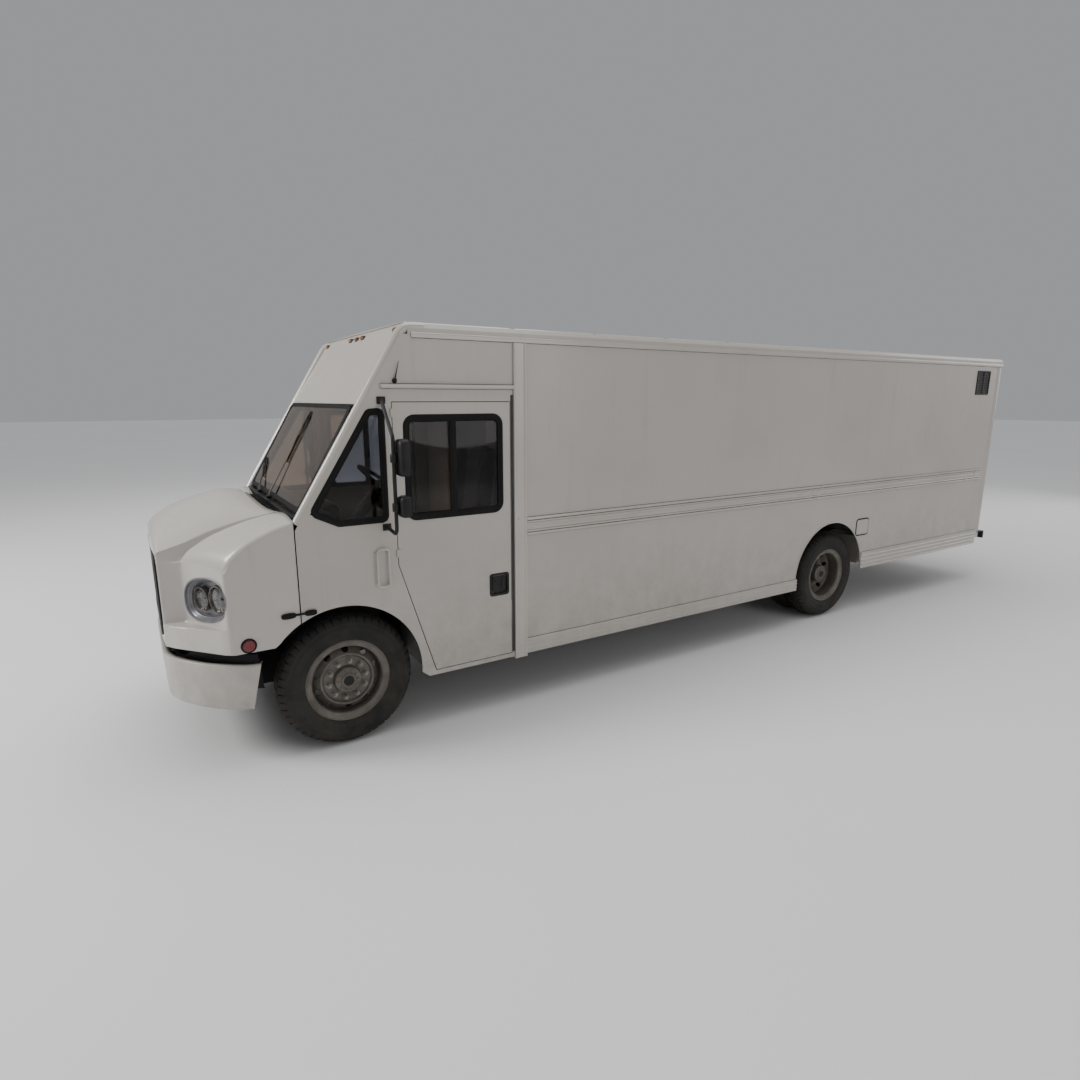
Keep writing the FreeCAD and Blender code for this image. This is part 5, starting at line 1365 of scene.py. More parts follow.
def make_body_lamps():
    clips, lenses, reds = Build(), Build(), Build()
    slope = Vector((0, 0.609, 0.793))
    normal = Vector((0, -0.793, 0.609))
    for x in (-0.950, -0.170, 0.0, 0.170, 0.950):
        centre = Vector((x, -3.590, 3.100))
        basis = Matrix(((1, 0, 0, centre.x), (0, -normal.y, slope.y, centre.y),
                        (0, -normal.z, slope.z, centre.z), (0, 0, 0, 1)))
        clips.block((-0.040, -0.006, -0.020), (0.040, 0.004, 0.020), 0.004, 3, basis)
        lenses.block((-0.034, -0.0185, -0.0145), (0.034, -0.004, 0.0145), 0.006, 4, basis)
        for k in range(7):
            at = -0.027 + 0.009 * k
            lenses.block((at - 0.0012, -0.0195, -0.011), (at + 0.0012, -0.016, 0.011), 0.0006,
                         1, basis)
        clips.block((x - 0.040, 5.188, 2.994), (x + 0.040, 5.195, 3.030), 0.003, 3)
        reds.block((x - 0.034, 5.192, 2.999), (x + 0.034, 5.204, 3.025), 0.005, 4)
    for side in (1, -1):
        for z in (1.180, 1.330):
            centre = Vector((side * 1.036, 5.190, z))
            clips.lathe([(0.0, 0.044), (0.004, 0.044), (0.006, 0.042), (0.005, 0.038),
                         (0.0, 0.037)], centre, (0, 1, 0), 40)
            profile = [(0.001, 0.0385), (0.005, 0.0372)]
            profile += [(0.0070 + 0.0008 * (k % 2), 0.034 - 0.0048 * k) for k in range(7)]
            reds.lathe(profile + [(0.0075, 0.0003)], centre, (0, 1, 0), 40)
    clips.make("lamp_bezels", black_plastic, "truck_body", "lamp_lens", ["body_lamps"],
               smooth=45)
    lenses.make("roof_lamp_lenses", amber_lens, "truck_body", "lamp_lens", smooth=45)
    reds.make("rear_lamp_lenses", red_lens, "truck_body", "lamp_lens", smooth=45)


def make_antenna():
    aerial = Build()
    aerial.lathe([(-0.014, 0.004), (-0.013, 0.012), (-0.004, 0.0145), (0.006, 0.013),
                  (0.013, 0.006), (0.014, 0.0005)], (1.1145, -3.672, 2.742), (0, 0.2, 1), 24)
    aerial.lathe([(0.0, 0.0185), (0.003, 0.0180), (0.007, 0.014), (0.009, 0.010)],
                 (1.1002, -3.672, 2.736), (1, 0, 0), 24)
    whip = rounded_path([(1.115, -3.671, 2.748), (1.1175, -3.664, 2.785), (1.121, -3.654, 2.83),
                         (1.124, -3.644, 2.874)], 6)
    aerial.tube(whip, 0.0036, 10, scale=[1.5 - 0.9 * k / (len(whip) - 1)
                                         for k in range(len(whip))])
    aerial.make("antenna", black_plastic, "truck_body", "black_plastic", ["body_fittings"],
                smooth=60)


def make_grips_and_vents():
    grips, vents, blades = Build(), Build(), Build()
    loop = filleted([(1.128, -3.872, 1.232), (1.128, -3.784, 1.232), (1.128, -3.784, 1.518),
                     (1.128, -3.872, 1.518)], 0.024, 6)
    grips.sweep(loop, [(0.0085 * math.cos(math.radians(a)), 0.0085 * math.sin(math.radians(a)))
                       for a in range(0, 360, 30)], (1, 0, 0), True)
    for z in (1.262, 1.488):
        for y in (-3.872, -3.784):
            grips.tube([(1.1005, y, z), (1.126, y, z)], 0.0075, 14)
            grips.lathe([(0.0, 0.017), (0.004, 0.0165), (0.006, 0.013), (0.0065, 0.007)],
                        (1.1002, y, z), (1, 0, 0), 20)
    grips.mirror()
    grips.make("grab_handles", trim, "truck_body", "black_plastic", smooth=50)
    box_y, box_z = (4.526, 4.868), (2.662, 2.983)
    vents.block((1.0995, box_y[0], box_z[0]), (1.1015, box_y[1], box_z[1]), 0.0008, 1)
    frame_loop = [(box_y[0], box_z[0]), (box_y[1], box_z[0]), (box_y[1], box_z[1]),
                  (box_y[0], box_z[1])]
    rows = [side_loop(frame_loop, d, 0.020 + d, x, 5)
            for d, x in ((-0.018, 1.1005), (-0.018, 1.1075), (-0.015, 1.1098), (-0.004, 1.1098),
                 (0.0, 1.1075), (0.0, 1.1005))]
    vents.grid(rows, wrap_columns=True)
    vents.block((1.1005, 4.690, 2.675), (1.1090, 4.704, 2.970), 0.002, 2)
    for column in range(2):
        y = 4.540 + 0.164 * column
        for k in range(13):
            z = 2.690 + 0.0222 * k
            basis = Matrix.Translation((1.1045, y + 0.075, z)) @ Matrix.Rotation(-0.75, 4, "Y")
            blades.block((-0.0009, -0.075, -0.0072), (0.0009, 0.075, 0.0072), 0.0004, 1, basis)
    vents.mirror()
    blades.mirror()
    vents.make("vent_frames", black_plastic, "truck_body", "black_plastic", smooth=40)
    blades.make("vent_blades", black_plastic, "truck_body", "black_plastic", smooth=30)


def make_fuel_door():
    surround, flap = Build(), Build()
    hatch = [(2.114, 0.975), (2.344, 0.975), (2.344, 1.160), (2.114, 1.160)]
    rows = [side_loop(hatch, d, 0.028 + d, x, 6)
            for d, x in ((-0.010, 1.1000), (-0.006, 1.1004), (0.002, 1.1004), (0.004, 1.1040),
                 (0.008, 1.1055), (0.013, 1.1040), (0.016, 1.1000))]
    surround.grid(rows, wrap_columns=True)
    surround.make("fuel_door_seal", black_rubber, "truck_body", "black_rubber", smooth=50)
    rows = [side_loop(hatch, d, max(0.024 + d, 0.006), x, 6)
            for d, x in ((-0.09, 1.1008), (-0.0005, 1.1008), (0.0, 1.1015), (-0.0005, 1.1040),
                 (-0.003, 1.1049), (-0.012, 1.1050), (-0.016, 1.1040), (-0.022, 1.1040),
                 (-0.09, 1.1042))]
    flap.grid(rows, wrap_columns=True)
    flap.lid(rows[-1])
    flap.lid(rows[0])
    flap.tube([(1.105, 2.346, 0.990), (1.105, 2.346, 1.145)], 0.0038, 14)
    flap.lathe([(0.0, 0.012), (0.0025, 0.0118), (0.003, 0.009), (0.0015, 0.0085),
                (0.0015, 0.0003)], (1.1043, 2.150, 1.068), (1, 0, 0), 24)
    flap.make("fuel_flap", paint, "fuel_door", "body_paint", ["fuel_door"], smooth=40)
    blank = Build()
    rows = [side_loop(hatch, d, max(0.024 + d, 0.006), x, 6) for d, x in
            ((-0.0005, 1.0940), (-0.0005, 1.1010), (-0.0015, 1.1025), (-0.004, 1.1032),
             (-0.012, 1.1032), (-0.014, 1.1025))]
    blank.loft(rows)
    turned_over(blank, -1)
    blank.make("filler_blank_right", paint, "truck_body", "body_paint", smooth=40)


def make_latches():
    for label, side in SIDES:
        latch = Build()
        for y, long in ((-4.520, 0.050), (-4.368, 0.042)):
            rows = []
            for k in range(11):
                a = math.radians(-90 + 18 * k)
                wide = max(math.cos(a), 0.0) ** 0.45
                rows.append([Vector((1.1095 + 0.0085 * wide * math.cos(b),
                                     y + long * math.sin(a),
                                     LATCH_Z + 0.022 * wide * math.sin(b)))
                             for b in np.linspace(0, 2 * math.pi, 20, endpoint=False)])
            latch.grid(rows, wrap_columns=True)
            latch.tube([(1.1025, y, LATCH_Z), (1.110, y, LATCH_Z)], 0.016, 16)
        latch.sweep([(1.1085, -4.490, LATCH_Z), (1.1070, -4.440, LATCH_Z), (1.1085, -4.390, LATCH_Z)],
                    [(-0.003, -0.007), (0.003, -0.007), (0.0045, -0.004), (0.0045, 0.004),
                     (0.003, 0.007), (-0.003, 0.007)], (0, 0, 1))
        latch.dome((1.1172, -4.530, LATCH_Z), (1, 0, 0), 0.007, 0.0018, 16)
        turned_over(latch, side)
        latch.make("rubber_latch_" + label, black_rubber, "hood_latch_" + label, "black_rubber",
                   ["hood_latch_" + label], smooth=60)


def make_valance():
    # A black rubber valance, whose black also serves as painted shade for the shadow gap between the hood
    # and the bumper.
    valance = Build()
    plan = [(0.0, -5.235), (0.40, -5.225), (0.56, -5.200), (0.70, -5.130), (0.85, -5.010),
            (0.98, -4.880), (1.045, -4.780), (1.055, -4.735)]
    curve = rounded_path([(x, y, 0) for x, y in plan], 4)
    rows = []
    for z, drop, back in ((0.872, 0.078, 0.05), (0.870, 0.078, 0.0), (0.845, 0.060, 0.0),
                          (0.800, 0.025, 0.012), (0.50, 0.0, 0.020), (0.494, 0.0, 0.03)):
        lift = 0.115 * (z < 0.60)
        rows.append([Vector((p.x, p.y + back, z - drop * min(max((0.74 - p.x) / 0.12, 0.0), 1.0)
                             + lift * min(max((p.x - 0.90) / 0.14, 0.0), 1.0)))
                     for p in curve])
    valance.grid(rows)
    end = [row[-1].copy() for row in rows]
    inner = [Vector((0.480, -4.712, 0.43 + (p.z - end[-1].z) * 1.75)) for p in end]
    valance.grid([end, inner])
    valance.mirror()
    valance.make("bumper_valance_gap_shade", black_rubber, "truck_body", "dark_metal", smooth=40,
                 thick=0.004)


def make_wheelhouse_closers():
    closer = Build()
    closer.block((0.472, -3.655, 0.470), (0.476, -3.475, 0.940), 0.0015, 1)
    closer.block((0.478, -4.716, 0.400), (0.482, -4.440, 0.930), 0.0015, 1)
    closer.mirror()
    closer.make("wheelhouse_closers", black_rubber, "truck_body", "dark_metal", smooth=40)


make_pillars()
make_door_posts()
make_portal()
make_cap()
make_glazing()
make_doors()
make_rear_doors()
make_body_lamps()
make_antenna()
make_grips_and_vents()
make_fuel_door()
make_latches()
make_valance()
make_wheelhouse_closers()


# ------------------------------------------------------------------ mirrors, wipers and cab
MIRROR_X = 1.345        # the mirror arms' upright tube
GAUGE_PLACE = (-4.048, 1.745)        # y and z of the gauges' centres


def make_mirrors():
    arms = Build()
    path = filleted_path([(1.108, -3.780, 2.604), (MIRROR_X, -3.790, 2.350), (MIRROR_X, -3.790, 1.662),
                          (1.108, -3.780, 1.682)], 0.05)
    arms.tube(path, 0.0135, 18)
    for z in (2.600, 1.680):
        arms.block((1.1003, -3.812, z - 0.026), (1.108, -3.748, z + 0.026), 0.004, 3)
        arms.block((1.106, -3.800, z - 0.016), (1.120, -3.760, z + 0.016), 0.006, 3)
        for y in (-3.804, -3.756):
            arms.nut((1.108, y, z), (1, 0, 0), 0.008, 0.006)
    arms.mirror()
    arms.make("mirror_tubes", black_plastic, "truck_body", "dark_metal", ["mirror_arms"],
              smooth=50)
    for label, side in SIDES:
        heads, faces = Build(), Build()
        for low, high, half in ((2.076, 2.338, 0.078), (1.785, 1.940, 0.066)):
            middle = (low + high) / 2
            tall = (high - low) / 2
            rows = []
            for depth, share in ((-3.768, 0.30), (-3.7675, 0.55), (-3.764, 0.76), (-3.757, 0.90),
                                 (-3.746, 0.97), (-3.728, 1.0), (-3.706, 1.0), (-3.698, 0.985),
                                 (-3.6945, 0.955), (-3.6945, 0.90), (-3.700, 0.885),
                                 (-3.702, 0.87)):
                row = []
                for k in range(48):
                    a = 2 * math.pi * k / 48
                    c, s = squared(math.cos(a), 0.42), squared(math.sin(a), 0.42)
                    row.append(Vector((side * MIRROR_X + half * share * c, depth,
                                       middle + (tall - half * (1 - share)) * s)))
                rows.append(row)
            heads.grid(rows, wrap_columns=True)
            heads.lid(rows[0])
            glass_row = [Vector((p.x, -3.7015 + 0.002 * ((p.z - middle) / tall) ** 2, p.z))
                         for p in rows[-1]]
            centre = Vector((side * MIRROR_X, -3.6985, middle))
            ring = [centre.lerp(p, 0.5) for p in glass_row]
            faces.grid([glass_row, ring, [centre.lerp(p, 0.02) for p in glass_row]],
                       wrap_columns=True)
            faces.lid([centre.lerp(p, 0.02) for p in glass_row])
            heads.lathe([(-0.030, 0.0145), (-0.030, 0.022), (-0.027, 0.0245), (0.027, 0.0245),
                         (0.030, 0.022), (0.030, 0.0145)], (side * MIRROR_X, -3.790, middle),
                        (0, 0, 1), 30, close=True)
            heads.block((side * MIRROR_X - 0.014, -3.782, middle - 0.018),
                        (side * MIRROR_X + 0.014, -3.760, middle + 0.018), 0.004, 3)
        node = "mirror_heads_" + label
        heads.make("mirror_shells_" + label, black_plastic, node, "black_plastic", [node],
                   smooth=45)
        faces.make("mirror_glass_" + label, mirror_silver, node, "black_plastic", smooth=60)


def make_wipers():
    for name, pivot_x, swing, reach in (("left", 0.020, 6, 0.800), ("right", -0.420, 58, 0.560)):
        root = shield_point(pivot_x, -0.006, 0.022)
        turn = math.radians(swing)
        along = Vector((-math.sin(turn), 0, 0)) + UP * math.cos(turn)
        across = along.cross(OUT)
        arm, blade = Build(), Build()
        arm.lathe([(-0.014, 0.015), (0.004, 0.0155), (0.006, 0.019), (0.016, 0.018),
                   (0.022, 0.013), (0.024, 0.0005)], root, OUT, 24)
        path = [root + OUT * 0.012, root + along * 0.06 + OUT * 0.014,
                root + along * 0.16 + OUT * 0.010, root + along * reach * 0.45 + OUT * 0.006,
                root + along * reach * 0.70 + OUT * 0.004]
        arm.sweep(path, [(-0.009, -0.004), (0.009, -0.004), (0.009, 0.002), (0.006, 0.004),
                         (-0.006, 0.004), (-0.009, 0.002)], tuple(OUT),
                  scale=[1.0, 1.25, 1.05, 0.75, 0.6])
        spring = [root + along * (0.075 + 0.0022 * k) + OUT * 0.009
                  + across * 0.004 * math.cos(k) + OUT * 0.004 * math.sin(k) for k in range(34)]
        arm.tube(spring, 0.0012, 6)
        start, end = reach * 0.40, reach
        blade.sweep([root + along * start - OUT * 0.0045, root + along * end - OUT * 0.0045],
                    [(-0.0012, -0.0060), (0.0012, -0.0060), (0.0016, -0.001), (0.0045, 0.0),
                     (0.0045, 0.003), (0.0022, 0.0045), (-0.0022, 0.0045), (-0.0045, 0.003),
                     (-0.0045, 0.0), (-0.0016, -0.001)], tuple(OUT))
        middle = (start + end) / 2
        span = (end - start) / 2
        bow = [root + along * (middle + span * t) + OUT * (0.0085 - 0.0095 * t * t)
               for t in np.linspace(-0.82, 0.82, 15)]
        blade.sweep(bow, [(-0.0045, -0.0015), (0.0045, -0.0015), (0.0045, 0.0015),
                          (-0.0045, 0.0015)], tuple(OUT))
        for t in (-0.82, -0.45, 0.0, 0.45, 0.82):
            place = root + along * (middle + span * t)
            basis = Matrix((along, across, OUT)).transposed().to_4x4()
            basis.translation = place
            blade.block((-0.010, -0.006, -0.004), (0.010, 0.006, 0.0035), 0.002, 2, basis)
        node = "wiper_" + name
        arm.make("wiper_arm_" + name, dark_metal, node, "black_plastic", [node], smooth=40)
        blade.make("wiper_blade_" + name, black_rubber, node, "black_plastic", smooth=40)


def make_steering_wheel():
    lean = math.radians(39.7)
    axis = Vector((0, math.sin(lean), math.cos(lean)))
    side = Vector((1, 0, 0))
    other = axis.cross(side)
    centre = Vector((0.600, -3.640, 1.935))
    wheel = Build()
    ring = []
    for k in range(72):
        a = 2 * math.pi * k / 72
        ring.append(centre + axis * 0.010 + (side * math.cos(a) + other * math.sin(a)) * 0.225)
    scale = [1.0 - 0.07 * (k % 3 == 0) for k in range(72)]
    wheel.tube(ring, 0.0137, 12, True, tuple(axis), scale)
    wheel.lathe([(-0.030, 0.030), (-0.030, 0.050), (-0.018, 0.0545), (0.000, 0.0545),
                 (0.007, 0.050), (0.0095, 0.040), (0.008, 0.034), (0.0098, 0.028),
                 (0.010, 0.0004)], centre, axis, 40)
    for degrees in (0, 90, 180):
        a = math.radians(degrees)
        out = side * math.cos(a) - other * math.sin(a)
        path = [centre + out * 0.045 - axis * 0.008, centre + out * 0.10 - axis * 0.006,
                centre + out * 0.16 + axis * 0.002, centre + out * 0.218 + axis * 0.010]
        wheel.sweep(rounded_path(path, 4), [(-0.017, -0.004), (0.017, -0.004), (0.020, 0.0),
                                            (0.017, 0.004), (-0.017, 0.004), (-0.020, 0.0)],
                    tuple(axis), scale=[1.15 - 0.5 * k / 12 for k in range(13)])
    wheel.make("wheel_rim_and_spokes", black_plastic, "steering_wheel", "black_plastic",
               ["steering_wheel"], smooth=50)


def make_dashboard():
    desk = Build()
    profile = [(-4.405, 1.560), (-4.408, 1.700), (-4.404, 1.772), (-4.390, 1.783),
               (-4.300, 1.792), (-4.215, 1.799), (-4.165, 1.795), (-4.125, 1.780),
               (-4.100, 1.757), (-4.086, 1.730), (-4.081, 1.700), (-4.081, 1.655),
               (-4.088, 1.632), (-4.110, 1.602), (-4.140, 1.575), (-4.165, 1.562)]
    rows = []
    for x in np.linspace(-0.980, 0.980, 57):
        pull = 0.02 * max(0.0, (abs(x) - 0.93) / 0.05) ** 2
        rows.append([Vector((x, y + pull * (-1 if y > -4.2 else 1), z - pull * (z > 1.7)))
                     for y, z in profile])
    desk.loft(rows)
    for x in (-0.72, -0.40, 0.30, 0.90):
        desk.block((x - 0.055, -4.085, 1.665), (x + 0.055, -4.0735, 1.718), 0.004, 3)
        for k in range(5):
            z = 1.672 + 0.0092 * k
            desk.block((x - 0.048, -4.075, z), (x + 0.048, -4.0695, z + 0.004), 0.001, 1)
    desk.make("dash_top", black_plastic, "truck_body", "black_plastic", ["dashboard"],
              smooth=40)


def make_binnacle():
    binnacle = Build()
    hood_shape = [(-4.195, 1.782), (-4.185, 1.806), (-4.160, 1.832), (-4.125, 1.847),
                  (-4.100, 1.8485), (-4.060, 1.828), (-4.041, 1.806), (-4.041, 1.795),
                  (-4.052, 1.700), (-4.062, 1.662), (-4.180, 1.662)]
    rows = []
    for x in np.linspace(0.392, 0.808, 27):
        t = abs(x - 0.600) / 0.208
        drop = 0.022 * max(0.0, (t - 0.80) / 0.20) ** 2
        rows.append([Vector((x, y, z - drop * (z > 1.75))) for y, z in hood_shape])
    binnacle.loft(rows)
    face = Vector((0, 0.985, -0.17)).normalized()
    for x in (0.520, 0.680):
        binnacle.lathe([(-0.004, 0.060), (0.007, 0.060), (0.009, 0.057), (0.006, 0.053),
                        (0.001, 0.052)], (x, *GAUGE_PLACE), face, 36)
    for x in (0.425, 0.600, 0.775):
        binnacle.lathe([(-0.004, 0.020), (0.006, 0.020), (0.007, 0.018), (0.002, 0.016)],
                       (x, *GAUGE_PLACE), face, 24)
    binnacle.make("instrument_cluster", black_plastic, "truck_body", "black_plastic", smooth=40)
    dials = Build()
    for x, r in ((0.520, 0.052), (0.680, 0.052), (0.425, 0.016), (0.600, 0.016), (0.775, 0.016)):
        dials.lathe([(0.0015, r), (0.0020, r * 0.92), (0.0015, r * 0.90), (0.0015, 0.0003)],
                    (x, *GAUGE_PLACE), face, 32)
    dials.make("gauge_faces", surface("gauge_face", (0.16, 0.16, 0.16), (0.10, 0.10, 0.10), 0.3,
                                      patch=60.0, grain=400.0, relief=0.0001),
               "truck_body", "black_plastic", smooth=30)


def make_column():
    column = Build()
    start, end = Vector((0.600, -4.190, 1.274)), Vector((0.600, -3.663, 1.908))
    reach = (end - start).length
    axis = (end - start).normalized()
    column.lathe([(0.0, 0.026), (reach * 0.42, 0.026), (reach * 0.44, 0.034),
                  (reach * 0.60, 0.037), (reach * 0.62, 0.046), (reach * 0.92, 0.048),
                  (reach * 0.955, 0.044), (reach * 0.965, 0.028), (reach, 0.027)],
                 start, axis, 32)
    column.block((0.562, -4.248, 1.138), (0.638, -4.152, 1.318), 0.010, 3)
    for side_of, lift in ((-1, 0.0), (1, 0.015)):
        base = start + axis * reach * 0.86
        stalk = [base + Vector((side_of * 0.03, 0, 0)),
                 base + Vector((side_of * 0.12, 0.006, 0.012 + lift)),
                 base + Vector((side_of * 0.19, 0.010, 0.030 + lift))]
        column.tube(rounded_path(stalk, 5), 0.0065, 12,
                    scale=[0.8 + 0.06 * k for k in range(11)])
    column.make("column_shroud", black_plastic, "truck_body", "black_plastic", smooth=45)


def make_pedals():
    for name, x, half in (("brake_pedal", 0.515, 0.038), ("accelerator_pedal", 0.405, 0.026)):
        pedal, pad = Build(), Build()
        pedal.sweep(rounded_path([(x, -4.068, 1.530), (x, -4.069, 1.45), (x, -4.066, 1.33),
                                  (x, -4.062, 1.245)], 4),
                    [(-0.0065, -0.005), (0.0065, -0.005), (0.0065, 0.005), (-0.0065, 0.005)],
                    (0, 1, 0))
        pedal.tube([(x - 0.020, -4.068, 1.530), (x + 0.020, -4.068, 1.530)], 0.0118, 18)
        pad.block((x - half, -4.059, 1.181), (x + half, -4.050, 1.269), 0.004, 3)
        for k in range(7):
            z = 1.192 + 0.0112 * k
            pad.block((x - half + 0.005, -4.052, z - 0.003), (x + half - 0.005, -4.0465, z + 0.003),
                      0.0015, 2)
        pedal.make(name + "_arm", dark_metal, name, "dark_metal", [name], smooth=40)
        pad.make(name + "_pad", black_rubber, name, "dark_metal", smooth=40)


# ------------------------------------------------------------------ seat
def pillow(name, pieces, low, high, round_off):
    """A closed rounded block for a padded piece, as a welded mesh."""
    build = Build()
    build.block(low, high, round_off, 4)
    return build.make(name, cloth, "driver_seat", "seat_fabric", pieces, smooth=180)


def inflate(thing, cell, pressure, limit, frames=20):
    """Fills a closed cover with air and keeps each point within a limit of where it was."""
    voxel = thing.modifiers.new("remesh", "REMESH")
    voxel.mode = "VOXEL"
    voxel.voxel_size = cell
    bpy.context.view_layer.update()
    graph = bpy.context.evaluated_depsgraph_get()
    thing.data = bpy.data.meshes.new_from_object(thing.evaluated_get(graph))
    thing.modifiers.clear()
    start = [v.co.copy() for v in thing.data.vertices]
    cover = thing.modifiers.new("cover", "CLOTH")
    settings = cover.settings
    settings.quality = 4
    settings.mass = 0.3
    settings.tension_stiffness = 22
    settings.compression_stiffness = 22
    settings.shear_stiffness = 8
    settings.bending_stiffness = 0.6
    settings.use_pressure = True
    settings.uniform_pressure_force = pressure
    settings.effector_weights.gravity = 0
    cover.collision_settings.use_collision = False
    for number in range(1, frames + 1):
        bpy.context.scene.frame_set(number)
    graph = bpy.context.evaluated_depsgraph_get()
    swollen = bpy.data.meshes.new_from_object(thing.evaluated_get(graph))
    for vertex, first, last in zip(thing.data.vertices, start, swollen.vertices):
        move = last.co - first
        if move.length > limit:
            move *= limit / move.length
        vertex.co = first + move
    thing.modifiers.clear()
    bpy.context.scene.frame_set(1)
    thing.data.materials.clear()
    thing.data.materials.append(cloth)
    for polygon in thing.data.polygons:
        polygon.use_smooth = True
    return thing


def channel(thing, seams, depth, width):
    """Presses stitched channels into a cover: each seam is a function giving a distance."""
    for vertex in thing.data.vertices:
        for near, inward in seams:
            d = abs(near(vertex.co))
            if d < width:
                vertex.co += Vector(inward) * depth * (1 - d / width) ** 2


def make_seat():
    low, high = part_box("seat_cushion")
    cushion = pillow("cushion_cover", ["seat_cushion"],
                     (low.x + 0.016, low.y + 0.016, low.z + 0.008),
                     (high.x - 0.016, high.y - 0.012, high.z - 0.020), 0.034)
    inflate(cushion, 0.0075, 4.0, 0.022)
    channel(cushion, [(lambda p: p.x - 0.485, (0, 0, -1)), (lambda p: p.x - 0.715, (0, 0, -1)),
                      (lambda p: p.y + 3.10, (0, 0, -1))], 0.008, 0.016)
    outline = [(-2.872, 1.535), (-2.752, 1.525), (-2.688, 2.140), (-2.700, 2.222),
               (-2.765, 2.240), (-2.786, 2.160)]
    back = Build()
    rows = []
    for x, share in ((0.398, 0.55), (0.402, 0.80), (0.412, 0.94), (0.430, 1.0), (0.500, 1.0),
                     (0.600, 1.0), (0.700, 1.0), (0.770, 1.0), (0.788, 0.94), (0.798, 0.80),
                     (0.802, 0.55)):
        row = []
        for p in filleted([(x, y, z) for y, z in outline], 0.035, 5):
            centre_y = -2.812 + (p.z - 1.53) * 0.118
            lift = 2.242 - 0.045 * max(0.0, (abs(x - 0.6) - 0.12) / 0.082)
            z = min(p.z, lift)
            row.append(Vector((x, centre_y + (p.y - centre_y) * share,
                               1.88 + (z - 1.88) * (0.94 + 0.06 * share))))
        rows.append(row)
    back.loft(rows)
    cover = back.make("seat_back_cover", cloth, "driver_seat", "seat_fabric", ["seat_back"],
                      smooth=180)
    inflate(cover, 0.0075, 4.0, 0.018)
    channel(cover, [(lambda p: p.x - 0.475, (0, 1, 0)), (lambda p: p.x - 0.725, (0, 1, 0)),
                    (lambda p: p.z - 2.035, (0, 1, 0))], 0.006, 0.015)
    for thing, fill in ((cushion, 0.9), (cover, 0.85)):
        level = thing.modifiers.new("subdivision", "SUBSURF")
        level.levels = level.render_levels = 1
    frame_work = Build()
    frame_work.block((0.392, -3.290, 1.344), (0.808, -2.866, 1.384), 0.012, 4)
    frame_work.block((0.402, -2.8805, 1.350), (0.798, -2.8620, 1.500), 0.006, 3)
    rows = []
    for z, grow in ((1.022, 0.0), (1.030, 0.0), (1.045, -0.010), (1.18, -0.030), (1.32, -0.012),
                    (1.344, 0.0)):
        outline_ring = filleted([(0.460 - grow, -3.180 - grow, z), (0.740 + grow, -3.180 - grow, z),
                                 (0.740 + grow, -2.880 + grow, z), (0.460 - grow, -2.880 + grow, z)],
                                0.03, 4)
        rows.append(outline_ring)
    frame_work.grid(rows, wrap_columns=True)
    for x in (0.475, 0.725):
        frame_work.block((x - 0.018, -3.240, 1.3300), (x + 0.018, -2.870, 1.348), 0.004, 2)
    frame_work.tube([(0.782, -3.330, 1.362), (0.782, -3.200, 1.362)], 0.006, 12)
    frame_work.make("seat_frame", dark_metal, "driver_seat", "dark_metal", ["seat_base"],
                    smooth=40)


def soften_cad():
    """Rolled edges on the CAD nodes that are shown as they are."""
    for name, width in (("chassis_frame", 0.004), ("front_axle_beam", 0.008),
                        ("rear_axle_housing", 0.006), ("leaf_springs", 0.004),
                        ("propeller_shaft", 0.003), ("fuel_tank", 0.02),
                        ("floor_pan", 0.002), ("side_panels", 0.0012), ("roof_panel", 0.004),
                        ("cab_sides", 0.0012), ("cowl_panel", 0.002), ("bulkhead", 0.003),
                        ("cab_door_left", 0.003), ("cab_door_right", 0.003),
                        ("door_glass_left", 0.001), ("door_glass_right", 0.001),
                        ("sliding_pane_left", 0.001), ("sliding_pane_right", 0.001),
                        ("steering_knuckle_left", 0.004), ("steering_knuckle_right", 0.004)):
        edge = frame["nodes"][name].modifiers.new("rolled_edges", "BEVEL")
        edge.width = width
        edge.segments = 2
        edge.limit_method = "ANGLE"
        edge.angle_limit = math.radians(35)


make_mirrors()
make_wipers()
make_steering_wheel()
make_dashboard()
make_binnacle()
make_column()
make_pedals()
make_seat()
soften_cad()


# ------------------------------------------------------------------ engine, radiator and exhaust
EXHAUST_X, EXHAUST_Z = -0.560, 0.800        # the exhaust's centre line
PULLEY_Y, CRANK_Z, FAN_Z = -4.836, 0.880, 1.090


